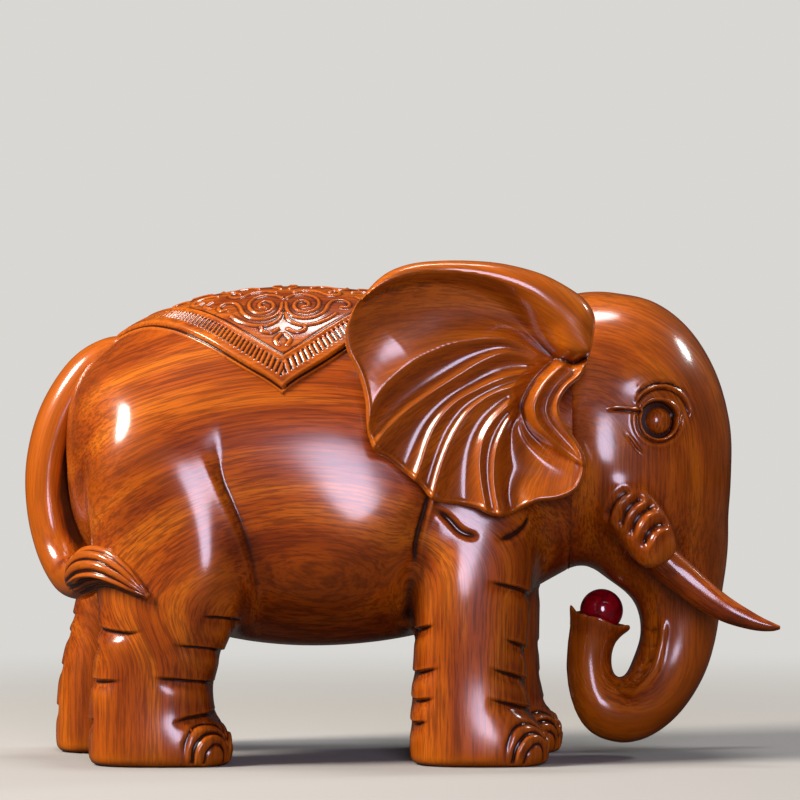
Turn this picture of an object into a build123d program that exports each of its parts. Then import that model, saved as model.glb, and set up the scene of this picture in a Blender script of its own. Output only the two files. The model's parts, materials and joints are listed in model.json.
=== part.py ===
"""A carved wooden elephant that carries a bead in its curled trunk, as separate glued-up pieces.

Frame: +X towards the head, +Y towards the elephant's left, +Z up, in millimetres. While it is
carved, X = 0 is near the middle of the back. At the end every piece is moved so that the origin is
the centre of the base of the whole box.
"""

import math
import os

from build123d import *

# ---------------------------------------------------------------- driving dimensions

# Torso, as oval rings square to X: (x, underside, top of the back, half width).
TORSO_RINGS = [
    (-92.5, 75.0, 92.0, 7.0),
    (-90.5, 66.0, 101.0, 17.0),
    (-85.0, 56.0, 111.0, 27.0),
    (-73.0, 44.0, 120.0, 35.0),
    (-52.0, 34.5, 128.0, 40.0),
    (-27.0, 31.0, 130.4, 41.5),
    (0.0, 33.0, 128.0, 39.0),
    (24.0, 40.0, 123.5, 33.6),
    (46.0, 52.0, 121.0, 28.4),
    (62.0, 62.0, 114.0, 22.0),
]

# Skull and trunk, as one chain of rings from the crown round to the trunk's mouth:
# (x, z, way the chain runs in degrees from +X, half depth from front to back, half width).
TRUNK_RINGS = [
    (55.5, 129.8, -90, 4.5, 4.5),
    (56.0, 126.8, -90, 15.0, 13.5),
    (56.0, 119.5, -90, 25.0, 22.5),
    (57.0, 107.0, -90, 31.6, 28.5),
    (58.5, 92.0, -90, 34.0, 31.0),
    (62.0, 77.5, -90, 30.8, 30.0),
    (66.5, 66.0, -88, 26.0, 26.0),
    (74.6, 54.3, -78, 18.0, 18.5),
    (78.0, 44.5, -86, 12.6, 13.5),
    (78.3, 34.6, -92, 10.7, 11.5),
    (75.6, 25.3, -103, 10.3, 10.6),
    (70.4, 16.5, -128, 9.0, 9.8),
    (63.6, 11.6, -166, 7.9, 9.0),
    (56.7, 13.9, -208, 7.9, 8.3),
    (53.6, 22.0, -249, 6.9, 7.6),
    (53.5, 30.0, -268, 6.7, 7.3),
]
TRUNK_JOIN = 11  # the chain is skinned in two runs, which meet at this ring

# Legs, as rings square to Z: (z, back edge x, front edge x, inner edge, outer edge).
FRONT_LEG_RINGS = [
    (0.0, 3.4, 41.0, 6.2, 37.8),
    (8.0, 3.1, 40.6, 6.2, 37.8),
    (14.0, 3.2, 36.4, 6.8, 37.2),
    (24.0, 3.8, 35.0, 7.2, 36.8),
    (36.0, 5.2, 35.6, 7.2, 36.8),
    (50.0, 6.8, 36.8, 7.2, 36.8),
    (66.0, 8.0, 37.0, 8.0, 36.0),
    (84.0, 11.0, 35.0, 8.0, 28.0),
]
HIND_LEG_RINGS = [
    (0.0, -84.5, -45.6, 7.7, 39.3),
    (8.0, -84.6, -46.6, 7.7, 39.3),
    (14.0, -84.5, -50.2, 8.3, 38.7),
    (22.0, -84.0, -50.4, 8.6, 38.4),
    (34.0, -82.4, -47.4, 8.4, 38.6),
    (46.0, -81.8, -43.6, 7.6, 39.4),
    (62.0, -84.0, -42.4, 7.6, 39.8),
    (80.0, -84.0, -45.0, 8.0, 37.0),
    (98.0, -78.0, -52.0, 8.0, 27.0),
]
LEFT_FRONT_STEP = 5.2  # how far the left front foot stands ahead of the right one
LEFT_HIND_STEP = -12.6  # how far the left hind foot stands behind the right one
STEP_FADES_AT = 72.0  # height at which a stepped leg is back in line

# Joint between the body block and the head block.
NECK_SEAM_X = 47.4
THROAT_CUT_Z = 48.0  # below this the seam steps back, so that the trunk's mouth stays whole
THROAT_CUT_X = 40.0
NECK_DOWEL_RADIUS = 4.0
NECK_DOWEL_LENGTH = 26.0
NECK_DOWEL_HEIGHTS = (78.0, 104.0)

# Tusks: a folded sheath stands out of each cheek and the tusk is pegged into its mouth.
# (x, y out from the middle, z, radius)
SHEATH_RINGS = [
    (57.0, 19.0, 80.0, 5.2),
    (61.5, 23.5, 73.5, 6.4),
    (66.4, 25.6, 66.6, 6.4),
    (71.9, 26.4, 57.4, 5.3),
]
TUSK_RINGS = [
    (76.0, 27.0, 52.9, 3.7),
    (80.8, 28.0, 48.9, 3.6),
    (85.6, 29.2, 44.6, 3.5),
    (90.6, 30.6, 41.3, 3.1),
    (97.0, 32.2, 38.7, 2.0),
    (104.0, 33.6, 37.6, 0.5),
]
TUSK_ROOT_RADIUS = 3.8
TUSK_PEG_RADIUS = 2.4
TUSK_PEG_LENGTH = 8.0

# Eyes: turned buttons let into round sockets.
EYE_X = 71.2
EYE_Z = 94.0
EYE_RADIUS = 3.6
EYE_DEPTH = 5.0
EYE_DOME = 1.5  # how far the button's dome stands out
EYE_SOCKET_RADIUS = 5.0
EYE_SOCKET_DEPTH = 0.9

# Ears: a dished plate with a rolled top edge and a root that is glued to the side of the neck.
# Outline seen from the side, from the rear tip over the top and round the front lobe.
EAR_OUTLINE = [
    (-14.8, 117.0),
    (-9.0, 128.2),
    (4.0, 136.0),
    (20.0, 137.2),
    (36.0, 134.0),
    (49.0, 127.0),
    (53.4, 119.0),
    (51.4, 110.0),
    (44.4, 101.0),
    (45.6, 92.0),
    (50.6, 82.0),
    (47.0, 74.2),
    (37.0, 71.6),
    (27.0, 68.2),
    (12.0, 72.0),
    (1.0, 80.6),
    (-7.4, 88.0),
    (-9.4, 102.0),
]
EAR_CENTRE_X = 44.0  # where the plate comes nearest the neck
EAR_CENTRE_Z = 98.0
EAR_BACK_Y = 34.6  # back of the plate there, out from the middle of the body
EAR_THICKNESS = 3.4
EAR_DISH_RADIUS = 150.0
EAR_REACH = 70.0  # any length that takes a cut right across the ear
# Rolled edge: (x, z, radius)
EAR_ROLL_RINGS = [
    (-11.0, 121.0, 1.6),
    (-2.0, 130.4, 2.4),
    (12.0, 133.6, 3.2),
    (28.0, 131.6, 4.4),
    (40.0, 126.0, 5.8),
    (47.4, 118.0, 6.0),
    (48.6, 113.0, 4.4),
]
EAR_ROLL_STANDS = 1.4  # how far the roll's middle stands out from the plate's outer face
EAR_ROOT_X = 45.6
EAR_ROOT_Z = 103.0
EAR_ROOT_HALF_X = 7.0
EAR_ROOT_HALF_Z = 14.0
EAR_DOWEL_RADIUS = 1.5
EAR_DOWEL_LENGTH = 20.0
EAR_DOWEL_SPOTS = [(50.6, 110.5), (41.6, 101.0)]

# Saddle cloth: a carved panel over the back, pointed at the spine and at each flank.
CLOTH_THICKNESS = 1.6
CLOTH_MIDDLE_X = -31.4
CLOTH_HALF_LENGTH = 47.8
CLOTH_HALF_WIDTH = 37.2
# Each edge seen from above: (share of the way from the spine to the flank, how far it bows out)
CLOTH_EDGE = [(0.25, 2.8), (0.40, 4.6), (0.60, 5.4), (0.80, 4.0)]
CLOTH_LOW_Z = 92.0
CLOTH_HIGH_Z = 150.0

# Tail: (x, y, z, radius), hanging down the rump and turning forward to a tuft on the right thigh.
TAIL_RINGS = [
    (-77.0, 0.0, 113.4, 4.6),
    (-86.6, 0.0, 106.2, 6.6),
    (-93.6, 0.0, 95.0, 7.0),
    (-97.2, 0.0, 82.0, 6.8),
    (-97.6, -0.6, 69.6, 6.3),
    (-95.2, -3.0, 58.6, 5.9),
    (-91.4, -9.5, 51.2, 5.4),
    (-87.8, -18.0, 49.4, 5.4),
    (-84.4, -26.0, 51.2, 6.6),
    (-79.0, -33.6, 52.4, 6.8),
    (-73.0, -38.0, 49.8, 4.4),
    (-68.4, -39.8, 47.0, 1.0),
]
TAIL_DOWEL_RADIUS = 1.5
TAIL_DOWEL_LENGTH = 16.0
TAIL_DOWEL_Z = 95.0

# Trunk's mouth, which is the last ring of the chain, and the bead that lies in it.
MOUTH_X = 55.8
MOUTH_Z = 38.3
MOUTH_WAY = -289.0
MOUTH_LIP = 2.7  # wall of the mouth round the bead
BEAD_RADIUS = 6.0
BEAD_SINK = 3.3  # how deep the bead sits below the mouth's rim

# Clearances.
GLUE_GAP = 0.05  # round a peg or dowel, on the radius
END_GAP = 0.4  # past the end of a peg or dowel in its hole
BEAD_GAP = 0.3  # between the bead and its cup

RING_POINTS = 12

# ---------------------------------------------------------------- shaping helpers


def ring(centre, across, out, half_across, half_out):
    """A closed oval wire about centre, with its half axes along the two unit vectors."""
    points = []
    for i in range(RING_POINTS):
        turn = 2 * math.pi * i / RING_POINTS
        points.append(
            Vector(*centre)
            + Vector(*across) * (half_across * math.cos(turn))
            + Vector(*out) * (half_out * math.sin(turn))
        )
    return Wire([Edge.make_spline(points, periodic=True)])


def skin(rings):
    """A solid through a row of rings, flat at both ends."""
    return Part() + Solid.make_loft(rings)


def mirrored(shape):
    """The same shape on the other side of the body."""
    return mirror(shape, about=Plane.XZ)


def round_rings(stations):
    """Circles along a bent path, each square to the path: stations are (x, y, z, radius)."""
    rings = []
    last = len(stations) - 1
    for i, (x, y, z, radius) in enumerate(stations):
        before = Vector(*stations[max(i - 1, 0)][:3])
        after = Vector(*stations[min(i + 1, last)][:3])
        along = (after - before).normalized()
        out = (Vector(0, 1, 0) - along * along.Y).normalized()
        if abs(along.Y) > 0.8:
            out = (Vector(1, 0, 0) - along * along.X).normalized()
        rings.append((Vector(x, y, z), along, radius))
    wires = []
    side = None
    for centre, along, radius in rings:
        if side is None:
            side = Vector(0, 1, 0).cross(along).normalized()
        side = (side - along * side.dot(along)).normalized()
        out = along.cross(side)
        wires.append(ring(centre, side, out, radius, radius))
    return wires


def rod(centre, along, radius, length):
    """A cylinder centred on a point, lying along a direction."""
    return Plane(origin=centre, z_dir=along) * Cylinder(radius, length)


# ---------------------------------------------------------------- the carved core


def torso(grow=0.0):
    """The barrel of the body and the neck, or the same grown outwards by an even amount."""
    rings = []
    for x, low, high, half_width in TORSO_RINGS:
        middle = (low + high) / 2
        rings.append(
            ring((x, 0, middle), (0, 0, 1), (0, 1, 0), (high - low) / 2 + grow, half_width + grow)
        )
    return skin(rings)


def mouth_way():
    turn = math.radians(MOUTH_WAY)
    return Vector(math.cos(turn), 0, math.sin(turn))


def bead_centre():
    return Vector(MOUTH_X, 0, MOUTH_Z) + mouth_way() * (BEAD_RADIUS - BEAD_SINK)


def skull_and_trunk():
    rings = []
    mouth_half = BEAD_RADIUS + MOUTH_LIP
    mouth = (MOUTH_X, MOUTH_Z, MOUTH_WAY, mouth_half, mouth_half)
    for x, z, way, half_depth, half_width in TRUNK_RINGS + [mouth]:
        turn = math.radians(way)
        forward = (-math.sin(turn), 0, math.cos(turn))
        rings.append(ring((x, 0, z), forward, (0, 1, 0), half_depth, half_width))
    return skin(rings[: TRUNK_JOIN + 1]) + skin(rings[TRUNK_JOIN:])


def leg(stations, side, step=0.0):
    """One leg, with its foot moved along X by step and its top left where it was."""
    rings = []
    for z, back, front, inner, outer in stations:
        shift = step * max(0.0, 1 - (z / STEP_FADES_AT) ** 2)
        centre = ((back + front) / 2 + shift, side * (inner + outer) / 2, z)
        rings.append(ring(centre, (1, 0, 0), (0, 1, 0), (front - back) / 2, (outer - inner) / 2))
    return skin(rings)


def sheath_rings(side):
    return round_rings([(x, side * y, z, radius) for x, y, z, radius in SHEATH_RINGS])


def mouth_of_sheath(side):
    """Where a sheath ends, and the way that it points."""
    x, y, z, _ = SHEATH_RINGS[-1]
    bx, by, bz, _ = SHEATH_RINGS[-2]
    here = Vector(x, side * y, z)
    return here, (here - Vector(bx, side * by, bz)).normalized()


def head_zone():
    """The space in front of the neck seam, and the trunk's mouth below the throat."""
    far = 200.0
    ahead = Box(far, far, 2 * far, align=(Align.MIN, Align.CENTER, Align.CENTER))
    below = Box(far, far, THROAT_CUT_Z, align=(Align.MIN, Align.CENTER, Align.MIN))
    return Pos(NECK_SEAM_X, 0, 0) * ahead + Pos(THROAT_CUT_X, 0, 0) * below


# ---------------------------------------------------------------- pegs and dowels


def neck_dowels(slack=0.0, end=0.0):
    rods = [
        rod(Vector(NECK_SEAM_X, 0, z), (1, 0, 0), NECK_DOWEL_RADIUS + slack, NECK_DOWEL_LENGTH + 2 * end)
        for z in NECK_DOWEL_HEIGHTS
    ]
    return Part(children=rods)


def ear_dowel_centre_y(side):
    """Half of each ear dowel is in the ear's plate and root, and half in the neck or head."""
    return side * (EAR_BACK_Y + EAR_THICKNESS / 2 - EAR_DOWEL_LENGTH / 2)


def ear_dowels(side, slack=0.0, end=0.0):
    rods = [
        rod(
            Vector(x, ear_dowel_centre_y(side), z),
            (0, 1, 0),
            EAR_DOWEL_RADIUS + slack,
            EAR_DOWEL_LENGTH + 2 * end,
        )
        for x, z in EAR_DOWEL_SPOTS
    ]
    return rods


def tusk_peg(side, slack=0.0, end=0.0):
    here, along = mouth_of_sheath(side)
    length = TUSK_PEG_LENGTH + end
    return rod(here - along * (length / 2), along, TUSK_PEG_RADIUS + slack, length)


# ---------------------------------------------------------------- pieces


def tusk(side):
    here, along = mouth_of_sheath(side)
    across = Vector(0, 1, 0).cross(along).normalized()
    root = ring(here, across, along.cross(across), TUSK_ROOT_RADIUS, TUSK_ROOT_RADIUS)
    path = [(here.X, here.Y, here.Z, TUSK_ROOT_RADIUS)]
    path += [(x, side * y, z, radius) for x, y, z, radius in TUSK_RINGS]
    horn = skin([root] + round_rings(path)[1:])
    return horn + tusk_peg(side)


def eye_button(side, surface_y):
    """The button's peg with its domed face, at the height of the cheek's surface."""
    face = surface_y - EYE_SOCKET_DEPTH
    peg = rod(Vector(EYE_X, side * (face - EYE_DEPTH / 2), EYE_Z), (0, 1, 0), EYE_RADIUS, EYE_DEPTH)
    dome_radius = (EYE_RADIUS**2 + EYE_DOME**2) / (2 * EYE_DOME)
    ball = Pos(EYE_X, side * (face + EYE_DOME - dome_radius), EYE_Z) * Sphere(dome_radius)
    cap_space = rod(Vector(EYE_X, side * (face + EYE_DOME), EYE_Z), (0, 1, 0), 2 * EYE_RADIUS, 2 * EYE_DOME)
    return peg + (ball & cap_space)


def eye_hole(side, surface_y):
    """The socket round the button and the deeper hole that takes its peg."""
    face = surface_y - EYE_SOCKET_DEPTH
    reach = 4.0
    socket = rod(
        Vector(EYE_X, side * (face + reach / 2), EYE_Z), (0, 1, 0), EYE_SOCKET_RADIUS, reach
    )
    length = EYE_DEPTH + END_GAP
    bore = rod(
        Vector(EYE_X, side * (face - length / 2), EYE_Z), (0, 1, 0), EYE_RADIUS + GLUE_GAP, length
    )
    return socket + bore


def ear_outline_face():
    rim = Edge.make_spline([Vector(x, 0, z) for x, z in EAR_OUTLINE], periodic=True)
    return Face(Wire([rim]))


def dish(side, back_y):
    """A big ball whose surface is the ear's dished face."""
    return Pos(EAR_CENTRE_X, side * (back_y + EAR_DISH_RADIUS), EAR_CENTRE_Z) * Sphere(EAR_DISH_RADIUS)


def ear_face_y(x, z):
    """How far out the plate's outer face is at a place on the ear."""
    radius = EAR_DISH_RADIUS
    away = (x - EAR_CENTRE_X) ** 2 + (z - EAR_CENTRE_Z) ** 2
    return EAR_BACK_Y + EAR_THICKNESS + radius - math.sqrt(radius**2 - away)


def ear(side, core):
    outline = Part() + Solid.extrude(ear_outline_face(), Vector(0, side * EAR_REACH, 0))
    plate = (outline & dish(side, EAR_BACK_Y)) - dish(side, EAR_BACK_Y + EAR_THICKNESS)
    roll = skin(
        round_rings(
            [(x, side * (ear_face_y(x, z) + EAR_ROLL_STANDS), z, r) for x, z, r in EAR_ROLL_RINGS]
        )
    )
    root_end = EAR_BACK_Y + EAR_THICKNESS / 2
    root_wires = [
        ring((EAR_ROOT_X, side * y, EAR_ROOT_Z), (1, 0, 0), (0, 0, 1), EAR_ROOT_HALF_X, EAR_ROOT_HALF_Z)
        for y in (NECK_DOWEL_RADIUS + 6.0, root_end)
    ]
    whole = (plate + roll + skin(root_wires)) - core
    for hole in ear_dowels(side, GLUE_GAP, END_GAP):
        whole -= hole
    return whole


def cloth_edge(fore, side):
    """One bowed edge of the cloth, from its corner on the spine out to its corner on the flank."""
    spine = Vector(CLOTH_MIDDLE_X + fore * CLOTH_HALF_LENGTH, 0, CLOTH_LOW_Z)
    flank = Vector(CLOTH_MIDDLE_X, side * CLOTH_HALF_WIDTH, CLOTH_LOW_Z)
    out = Vector(fore * CLOTH_HALF_WIDTH, side * CLOTH_HALF_LENGTH, 0).normalized()
    middle = [spine * (1 - share) + flank * share + out * bow for share, bow in CLOTH_EDGE]
    return Edge.make_spline([spine] + middle + [flank])


def cloth_outline():
    """The cloth seen from above, as one closed face."""
    corners = [(-1, -1), (1, -1), (1, 1), (-1, 1)]
    return Face(Wire([cloth_edge(fore, side) for fore, side in corners]))


def saddle_cloth(core):
    column = Part() + Solid.extrude(cloth_outline(), Vector(0, 0, CLOTH_HIGH_Z - CLOTH_LOW_Z))
    return (torso(CLOTH_THICKNESS) & column) - core


def tail_dowel(slack=0.0, end=0.0):
    """A dowel from the middle of the tail forward into the rump."""
    x, _, z, _ = min(TAIL_RINGS, key=lambda station: abs(station[2] - TAIL_DOWEL_Z))
    length = TAIL_DOWEL_LENGTH + 2 * end
    return rod(Vector(x + TAIL_DOWEL_LENGTH / 2, 0, z), (1, 0, 0), TAIL_DOWEL_RADIUS + slack, length)


def build():
    """Every piece by name, in the carving frame."""
    barrel = torso()
    face = skull_and_trunk()
    core = barrel + face
    zone = head_zone()

    legs = [
        leg(FRONT_LEG_RINGS, -1),
        leg(FRONT_LEG_RINGS, 1, LEFT_FRONT_STEP),
        leg(HIND_LEG_RINGS, -1),
        leg(HIND_LEG_RINGS, 1, LEFT_HIND_STEP),
    ]
    body = core - zone
    for one in legs:
        body += one

    head = core & zone
    for side in (-1, 1):
        head += skin(sheath_rings(side))

    bead = Pos(bead_centre()) * Sphere(BEAD_RADIUS)
    head -= Pos(bead_centre()) * Sphere(BEAD_RADIUS + BEAD_GAP)

    pieces = {}
    whole = body + head
    for side, name in ((-1, "right"), (1, "left")):
        pieces[f"ear_{name}"] = ear(side, whole)
        pieces[f"tusk_{name}"] = tusk(side)
        hits = head.find_intersection_points(Axis((EYE_X, 0, EYE_Z), (0, side, 0)))
        surface_y = max(abs(point.Y) for point, _ in hits)
        pieces[f"eye_{name}"] = eye_button(side, surface_y)
        head -= eye_hole(side, surface_y)
        head -= tusk_peg(side, GLUE_GAP, END_GAP)
        for hole in ear_dowels(side, GLUE_GAP, END_GAP):
            head -= hole
            body -= hole

    pieces["saddle_cloth"] = saddle_cloth(body)
    tail = skin(round_rings(TAIL_RINGS)) - body
    pieces["tail"] = tail - tail_dowel(GLUE_GAP, END_GAP)
    body -= tail_dowel(GLUE_GAP, END_GAP)
    pieces["tail_dowel"] = tail_dowel()

    for hole in neck_dowels(GLUE_GAP, END_GAP).children:
        body -= hole
        head -= hole
    pieces["neck_dowels"] = neck_dowels()
    pieces["ear_dowels"] = Part(children=ear_dowels(-1) + ear_dowels(1))
    pieces["body_block"] = body
    pieces["head_block"] = head
    pieces["bead"] = bead
    return pieces


def main():
    os.makedirs("parts", exist_ok=True)
    pieces = build()
    box = Compound(children=[Compound(piece.solids()) for piece in pieces.values()]).bounding_box()
    home = Pos(-(box.min.X + box.max.X) / 2, -(box.min.Y + box.max.Y) / 2, -box.min.Z)
    print("moved by", home.position, "box", box.size)
    for name, piece in pieces.items():
        export_step(home * Compound(piece.solids()), f"parts/{name}.step")


main()
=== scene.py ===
import itertools
import json
import math
from contextlib import contextmanager

import bmesh
import bpy
import numpy as np
from mathutils import Matrix, Vector
from mathutils.bvhtree import BVHTree

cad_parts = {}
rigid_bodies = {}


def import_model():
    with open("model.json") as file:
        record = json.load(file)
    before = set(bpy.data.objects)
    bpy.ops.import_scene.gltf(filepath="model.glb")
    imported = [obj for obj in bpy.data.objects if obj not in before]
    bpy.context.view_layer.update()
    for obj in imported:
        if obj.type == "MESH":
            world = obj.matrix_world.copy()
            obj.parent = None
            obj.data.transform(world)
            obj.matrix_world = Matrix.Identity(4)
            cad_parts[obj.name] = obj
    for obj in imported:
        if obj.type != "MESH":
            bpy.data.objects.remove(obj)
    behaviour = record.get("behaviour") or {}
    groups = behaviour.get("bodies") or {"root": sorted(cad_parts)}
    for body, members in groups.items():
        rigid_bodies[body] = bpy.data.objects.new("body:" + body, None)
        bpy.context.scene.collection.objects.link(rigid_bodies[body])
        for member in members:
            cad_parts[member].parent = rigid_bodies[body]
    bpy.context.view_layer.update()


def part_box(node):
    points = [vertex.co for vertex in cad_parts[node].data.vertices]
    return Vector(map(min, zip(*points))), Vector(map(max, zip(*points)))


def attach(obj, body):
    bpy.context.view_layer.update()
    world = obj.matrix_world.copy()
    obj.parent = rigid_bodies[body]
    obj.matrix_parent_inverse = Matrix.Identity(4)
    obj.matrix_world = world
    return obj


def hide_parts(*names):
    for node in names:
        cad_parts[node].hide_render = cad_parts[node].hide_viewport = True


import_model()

# The carving is worked in millimetres in the part's own frame, and each finished piece is brought
# to metres as its last step. Near side means the elephant's right side, at y below 0.
MM = 0.001
BODY = "elephant"
SIDES = (("right", -1), ("left", 1))
MOST_TRIANGLES = 190000  # to a piece
SMOOTH_BELOW = math.radians(75)

# ------------------------------------------------------------------------ small helpers


def pick(obj):
    """Makes one object the only one selected, and the active one."""
    bpy.ops.object.select_all(action="DESELECT")
    obj.select_set(True)
    bpy.context.view_layer.objects.active = obj


@contextmanager
def editing(obj, select="SELECT"):
    """Edit mode on one piece while a with block runs, starting with all of it selected or as asked."""
    pick(obj)
    bpy.ops.object.mode_set(mode="EDIT")
    if select:
        bpy.ops.mesh.select_all(action=select)
    yield
    bpy.ops.object.mode_set(mode="OBJECT")


def turn_outward():
    """Turns every face of the piece in edit mode outward."""
    bpy.ops.mesh.select_all(action="SELECT")
    bpy.ops.mesh.normals_make_consistent(inside=False)


def primitive(make, name, **settings):
    """Makes an object with one of Blender's own operators and leaves only that selected."""
    bpy.ops.object.select_all(action="DESELECT")
    make(**settings)
    obj = bpy.context.object
    obj.name = name
    return obj


def finish_with(obj, kind, **settings):
    """Adds a modifier to a piece and applies it."""
    pick(obj)
    modifier = obj.modifiers.new(kind.title(), kind)
    for name, value in settings.items():
        setattr(modifier, name, value)
    bpy.ops.object.modifier_apply(modifier=modifier.name)
    return obj


def places(obj):
    """The piece's points as rows of x, y and z."""
    flat = np.empty(len(obj.data.vertices) * 3)
    obj.data.vertices.foreach_get("co", flat)
    return flat.reshape(-1, 3)


def put(obj, points):
    obj.data.vertices.foreach_set("co", np.ascontiguousarray(points, dtype=float).ravel())
    obj.data.update()


def facing(obj):
    """The outward direction at each of the piece's points."""
    flat = np.empty(len(obj.data.vertices) * 3, np.float32)
    obj.data.vertex_normals.foreach_get("vector", flat)
    return flat.reshape(-1, 3).astype(float)


def neighbours(obj):
    flat = np.empty(len(obj.data.edges) * 2, np.int64)
    obj.data.edges.foreach_get("vertices", flat)
    return flat.reshape(-1, 2)


def averages(values, edges):
    """The mean of each point's neighbours."""
    count = len(values)
    a, b = edges[:, 0], edges[:, 1]
    total = np.stack([
        np.bincount(a, values[b, k], count) + np.bincount(b, values[a, k], count)
        for k in range(values.shape[1])
    ], 1)  # fmt: skip
    near = np.bincount(a, minlength=count) + np.bincount(b, minlength=count)
    return total / np.maximum(near, 1)[:, None]


def eased(points, edges, share, rounds):
    """Points moved towards their neighbours' mean again and again, each by its own share."""
    for _ in range(rounds):
        points = points + share[:, None] * (averages(points, edges) - points)
    return points


def ramp(value, low, high):
    """0 below low, 1 above high and smooth between them."""
    t = np.clip((value - low) / (high - low), 0, 1)
    return t * t * (3 - 2 * t)


def bell(offset, width):
    """1 where the offset is 0, falling away smoothly on both sides over the given width."""
    return np.exp(-((offset / width) ** 2))


def curve_through(stations, steps):
    """Rows between the given rows, on a smooth curve that passes through each of them."""
    rows = np.array(stations, float)
    ends = np.vstack([2 * rows[0] - rows[1], rows, 2 * rows[-1] - rows[-2]])
    out = []
    for i in range(len(rows) - 1):
        a, b, c, d = ends[i : i + 4]
        for t in np.arange(steps) / steps:
            bent = 2 * b + (c - a) * t + (2 * a - 5 * b + 4 * c - d) * t * t
            out.append(0.5 * (bent + (3 * b - a - 3 * c + d) * t**3))
    out.append(rows[-1])
    return np.array(out)


def drawn_out(name, rings):
    """A closed form drawn out ring by ring from a disc: each ring is its own row of points."""
    obj = primitive(bpy.ops.mesh.primitive_circle_add, name, vertices=len(rings[0]), fill_type="NGON")
    with editing(obj):
        mesh = bmesh.from_edit_mesh(obj.data)
        order = mesh.verts.layers.int.new("order")
        for i, vert in enumerate(sorted(mesh.verts, key=lambda v: math.atan2(v.co.y, v.co.x))):
            vert[order] = i
        for i, ring in enumerate(rings):
            if i:
                bpy.ops.mesh.extrude_region_move()
                mesh = bmesh.from_edit_mesh(obj.data)
                order = mesh.verts.layers.int["order"]
            for vert in mesh.verts:
                if vert.select:
                    vert.co = ring[vert[order]]
            bmesh.update_edit_mesh(obj.data)
        turn_outward()
    return obj


def sheet(name, rows, closed=False):
    """A grid with its points placed row by row. A closed one is wrapped round, its poles filled."""
    down, across = len(rows) - 1, len(rows[0]) - 1
    make = bpy.ops.mesh.primitive_grid_add
    obj = primitive(make, name, x_subdivisions=across, y_subdivisions=down, size=2.0)
    grid = places(obj)
    column = np.rint((grid[:, 0] + 1) / 2 * across).astype(int)
    row = np.rint((grid[:, 1] + 1) / 2 * down).astype(int)
    put(obj, np.asarray(rows)[row, column])
    if closed:
        with editing(obj):
            bpy.ops.mesh.remove_doubles(threshold=1e-4)
            bpy.ops.mesh.select_all(action="SELECT")
            bpy.ops.mesh.fill_holes(sides=0)
            turn_outward()
    return obj


def oval(centre, u, v, sides=36, full=2.0):
    """Points in a ring round a centre, from its two half axes. Above a fullness of 2 it is squarer."""
    turns = np.arange(sides) * 2 * math.pi / sides
    c, s = np.cos(turns), np.sin(turns)
    c, s = (np.sign(part) * np.abs(part) ** (2 / full) for part in (c, s))
    return np.array(centre, float) + c[:, None] * np.array(u, float) + s[:, None] * np.array(v, float)


def copy_of(obj, name):
    twin = obj.copy()
    twin.data = obj.data.copy()
    twin.name = name
    bpy.context.scene.collection.objects.link(twin)
    return twin


def joined(name, pieces):
    pick(pieces[0])
    for piece in pieces[1:]:
        piece.select_set(True)
    bpy.ops.object.join()
    pieces[0].name = name
    return pieces[0]


# ------------------------------------------------------------------------ rough forms of the block

TORSO = [  # x, underside, top, half width
    (-92.3, 76.0, 91.0, 6.0),
    (-90.6, 66.0, 101.0, 17.0),
    (-85.0, 56.0, 111.0, 27.0),
    (-73.0, 44.0, 120.0, 35.0),
    (-52.0, 34.5, 128.0, 40.0),
    (-27.0, 31.0, 130.4, 41.5),
    (0.0, 33.0, 128.0, 39.0),
    (24.0, 40.0, 123.5, 33.6),
    (46.0, 51.6, 121.0, 28.4),
    (62.0, 60.0, 114.0, 22.0),
]
TRUNK = [  # x, z, way in degrees, half depth, half width
    (55.5, 129.9, -90, 3.0, 3.0),
    (56.0, 127.2, -90, 15.0, 13.5),
    (56.0, 119.5, -90, 25.2, 22.5),
    (57.0, 107.0, -90, 31.8, 28.3),
    (58.5, 92.0, -90, 34.2, 30.0),
    (62.0, 77.5, -90, 30.8, 30.6),
    (66.5, 66.0, -88, 25.6, 26.6),
    (74.6, 54.3, -78, 17.8, 17.6),
    (78.0, 44.5, -86, 12.4, 12.8),
    (78.3, 34.6, -92, 10.6, 11.9),
    (75.6, 25.3, -103, 10.2, 12.1),
    (70.4, 16.5, -128, 9.0, 11.2),
    (63.6, 11.6, -166, 7.9, 9.6),
    (56.7, 13.9, -208, 7.8, 8.2),
    (53.6, 22.0, -249, 6.8, 7.5),
    (53.5, 30.0, -268, 6.6, 7.2),
    (55.4, 36.2, -284, 7.6, 7.8),
    (56.2, 39.0, -289, 9.0, 8.6),
]
FRONT_LEG = [  # z, back x, front x, inner y, outer y
    (0.0, 3.9, 40.4, 6.8, 38.4),
    (1.2, 3.2, 41.0, 6.2, 39.1),
    (8.0, 3.1, 40.6, 6.2, 39.1),
    (14.0, 3.3, 36.6, 6.8, 38.8),
    (24.0, 3.9, 35.2, 7.2, 38.4),
    (36.0, 5.3, 35.6, 7.2, 38.3),
    (50.0, 6.8, 36.8, 7.2, 37.6),
    (64.0, 8.0, 37.4, 8.0, 36.3),
    (76.0, 9.6, 37.6, 8.0, 34.6),
    (90.0, 14.0, 34.0, 8.0, 28.0),
]
HIND_LEG = [
    (0.0, -84.0, -46.2, 8.3, 39.0),
    (1.2, -84.7, -45.5, 7.7, 39.8),
    (8.0, -84.7, -46.5, 7.7, 39.9),
    (14.0, -84.6, -50.0, 8.3, 39.5),
    (22.0, -84.1, -50.6, 8.6, 39.6),
    (34.0, -82.5, -47.6, 8.4, 40.5),
    (46.0, -81.8, -43.6, 7.6, 41.2),
    (60.0, -83.0, -42.2, 7.6, 41.5),
    (76.0, -84.0, -45.6, 8.0, 41.6),
    (92.0, -80.0, -52.0, 8.0, 36.0),
    (104.0, -74.0, -58.0, 8.0, 26.0),
]
LEFT_FRONT_STEP = 5.2
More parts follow.
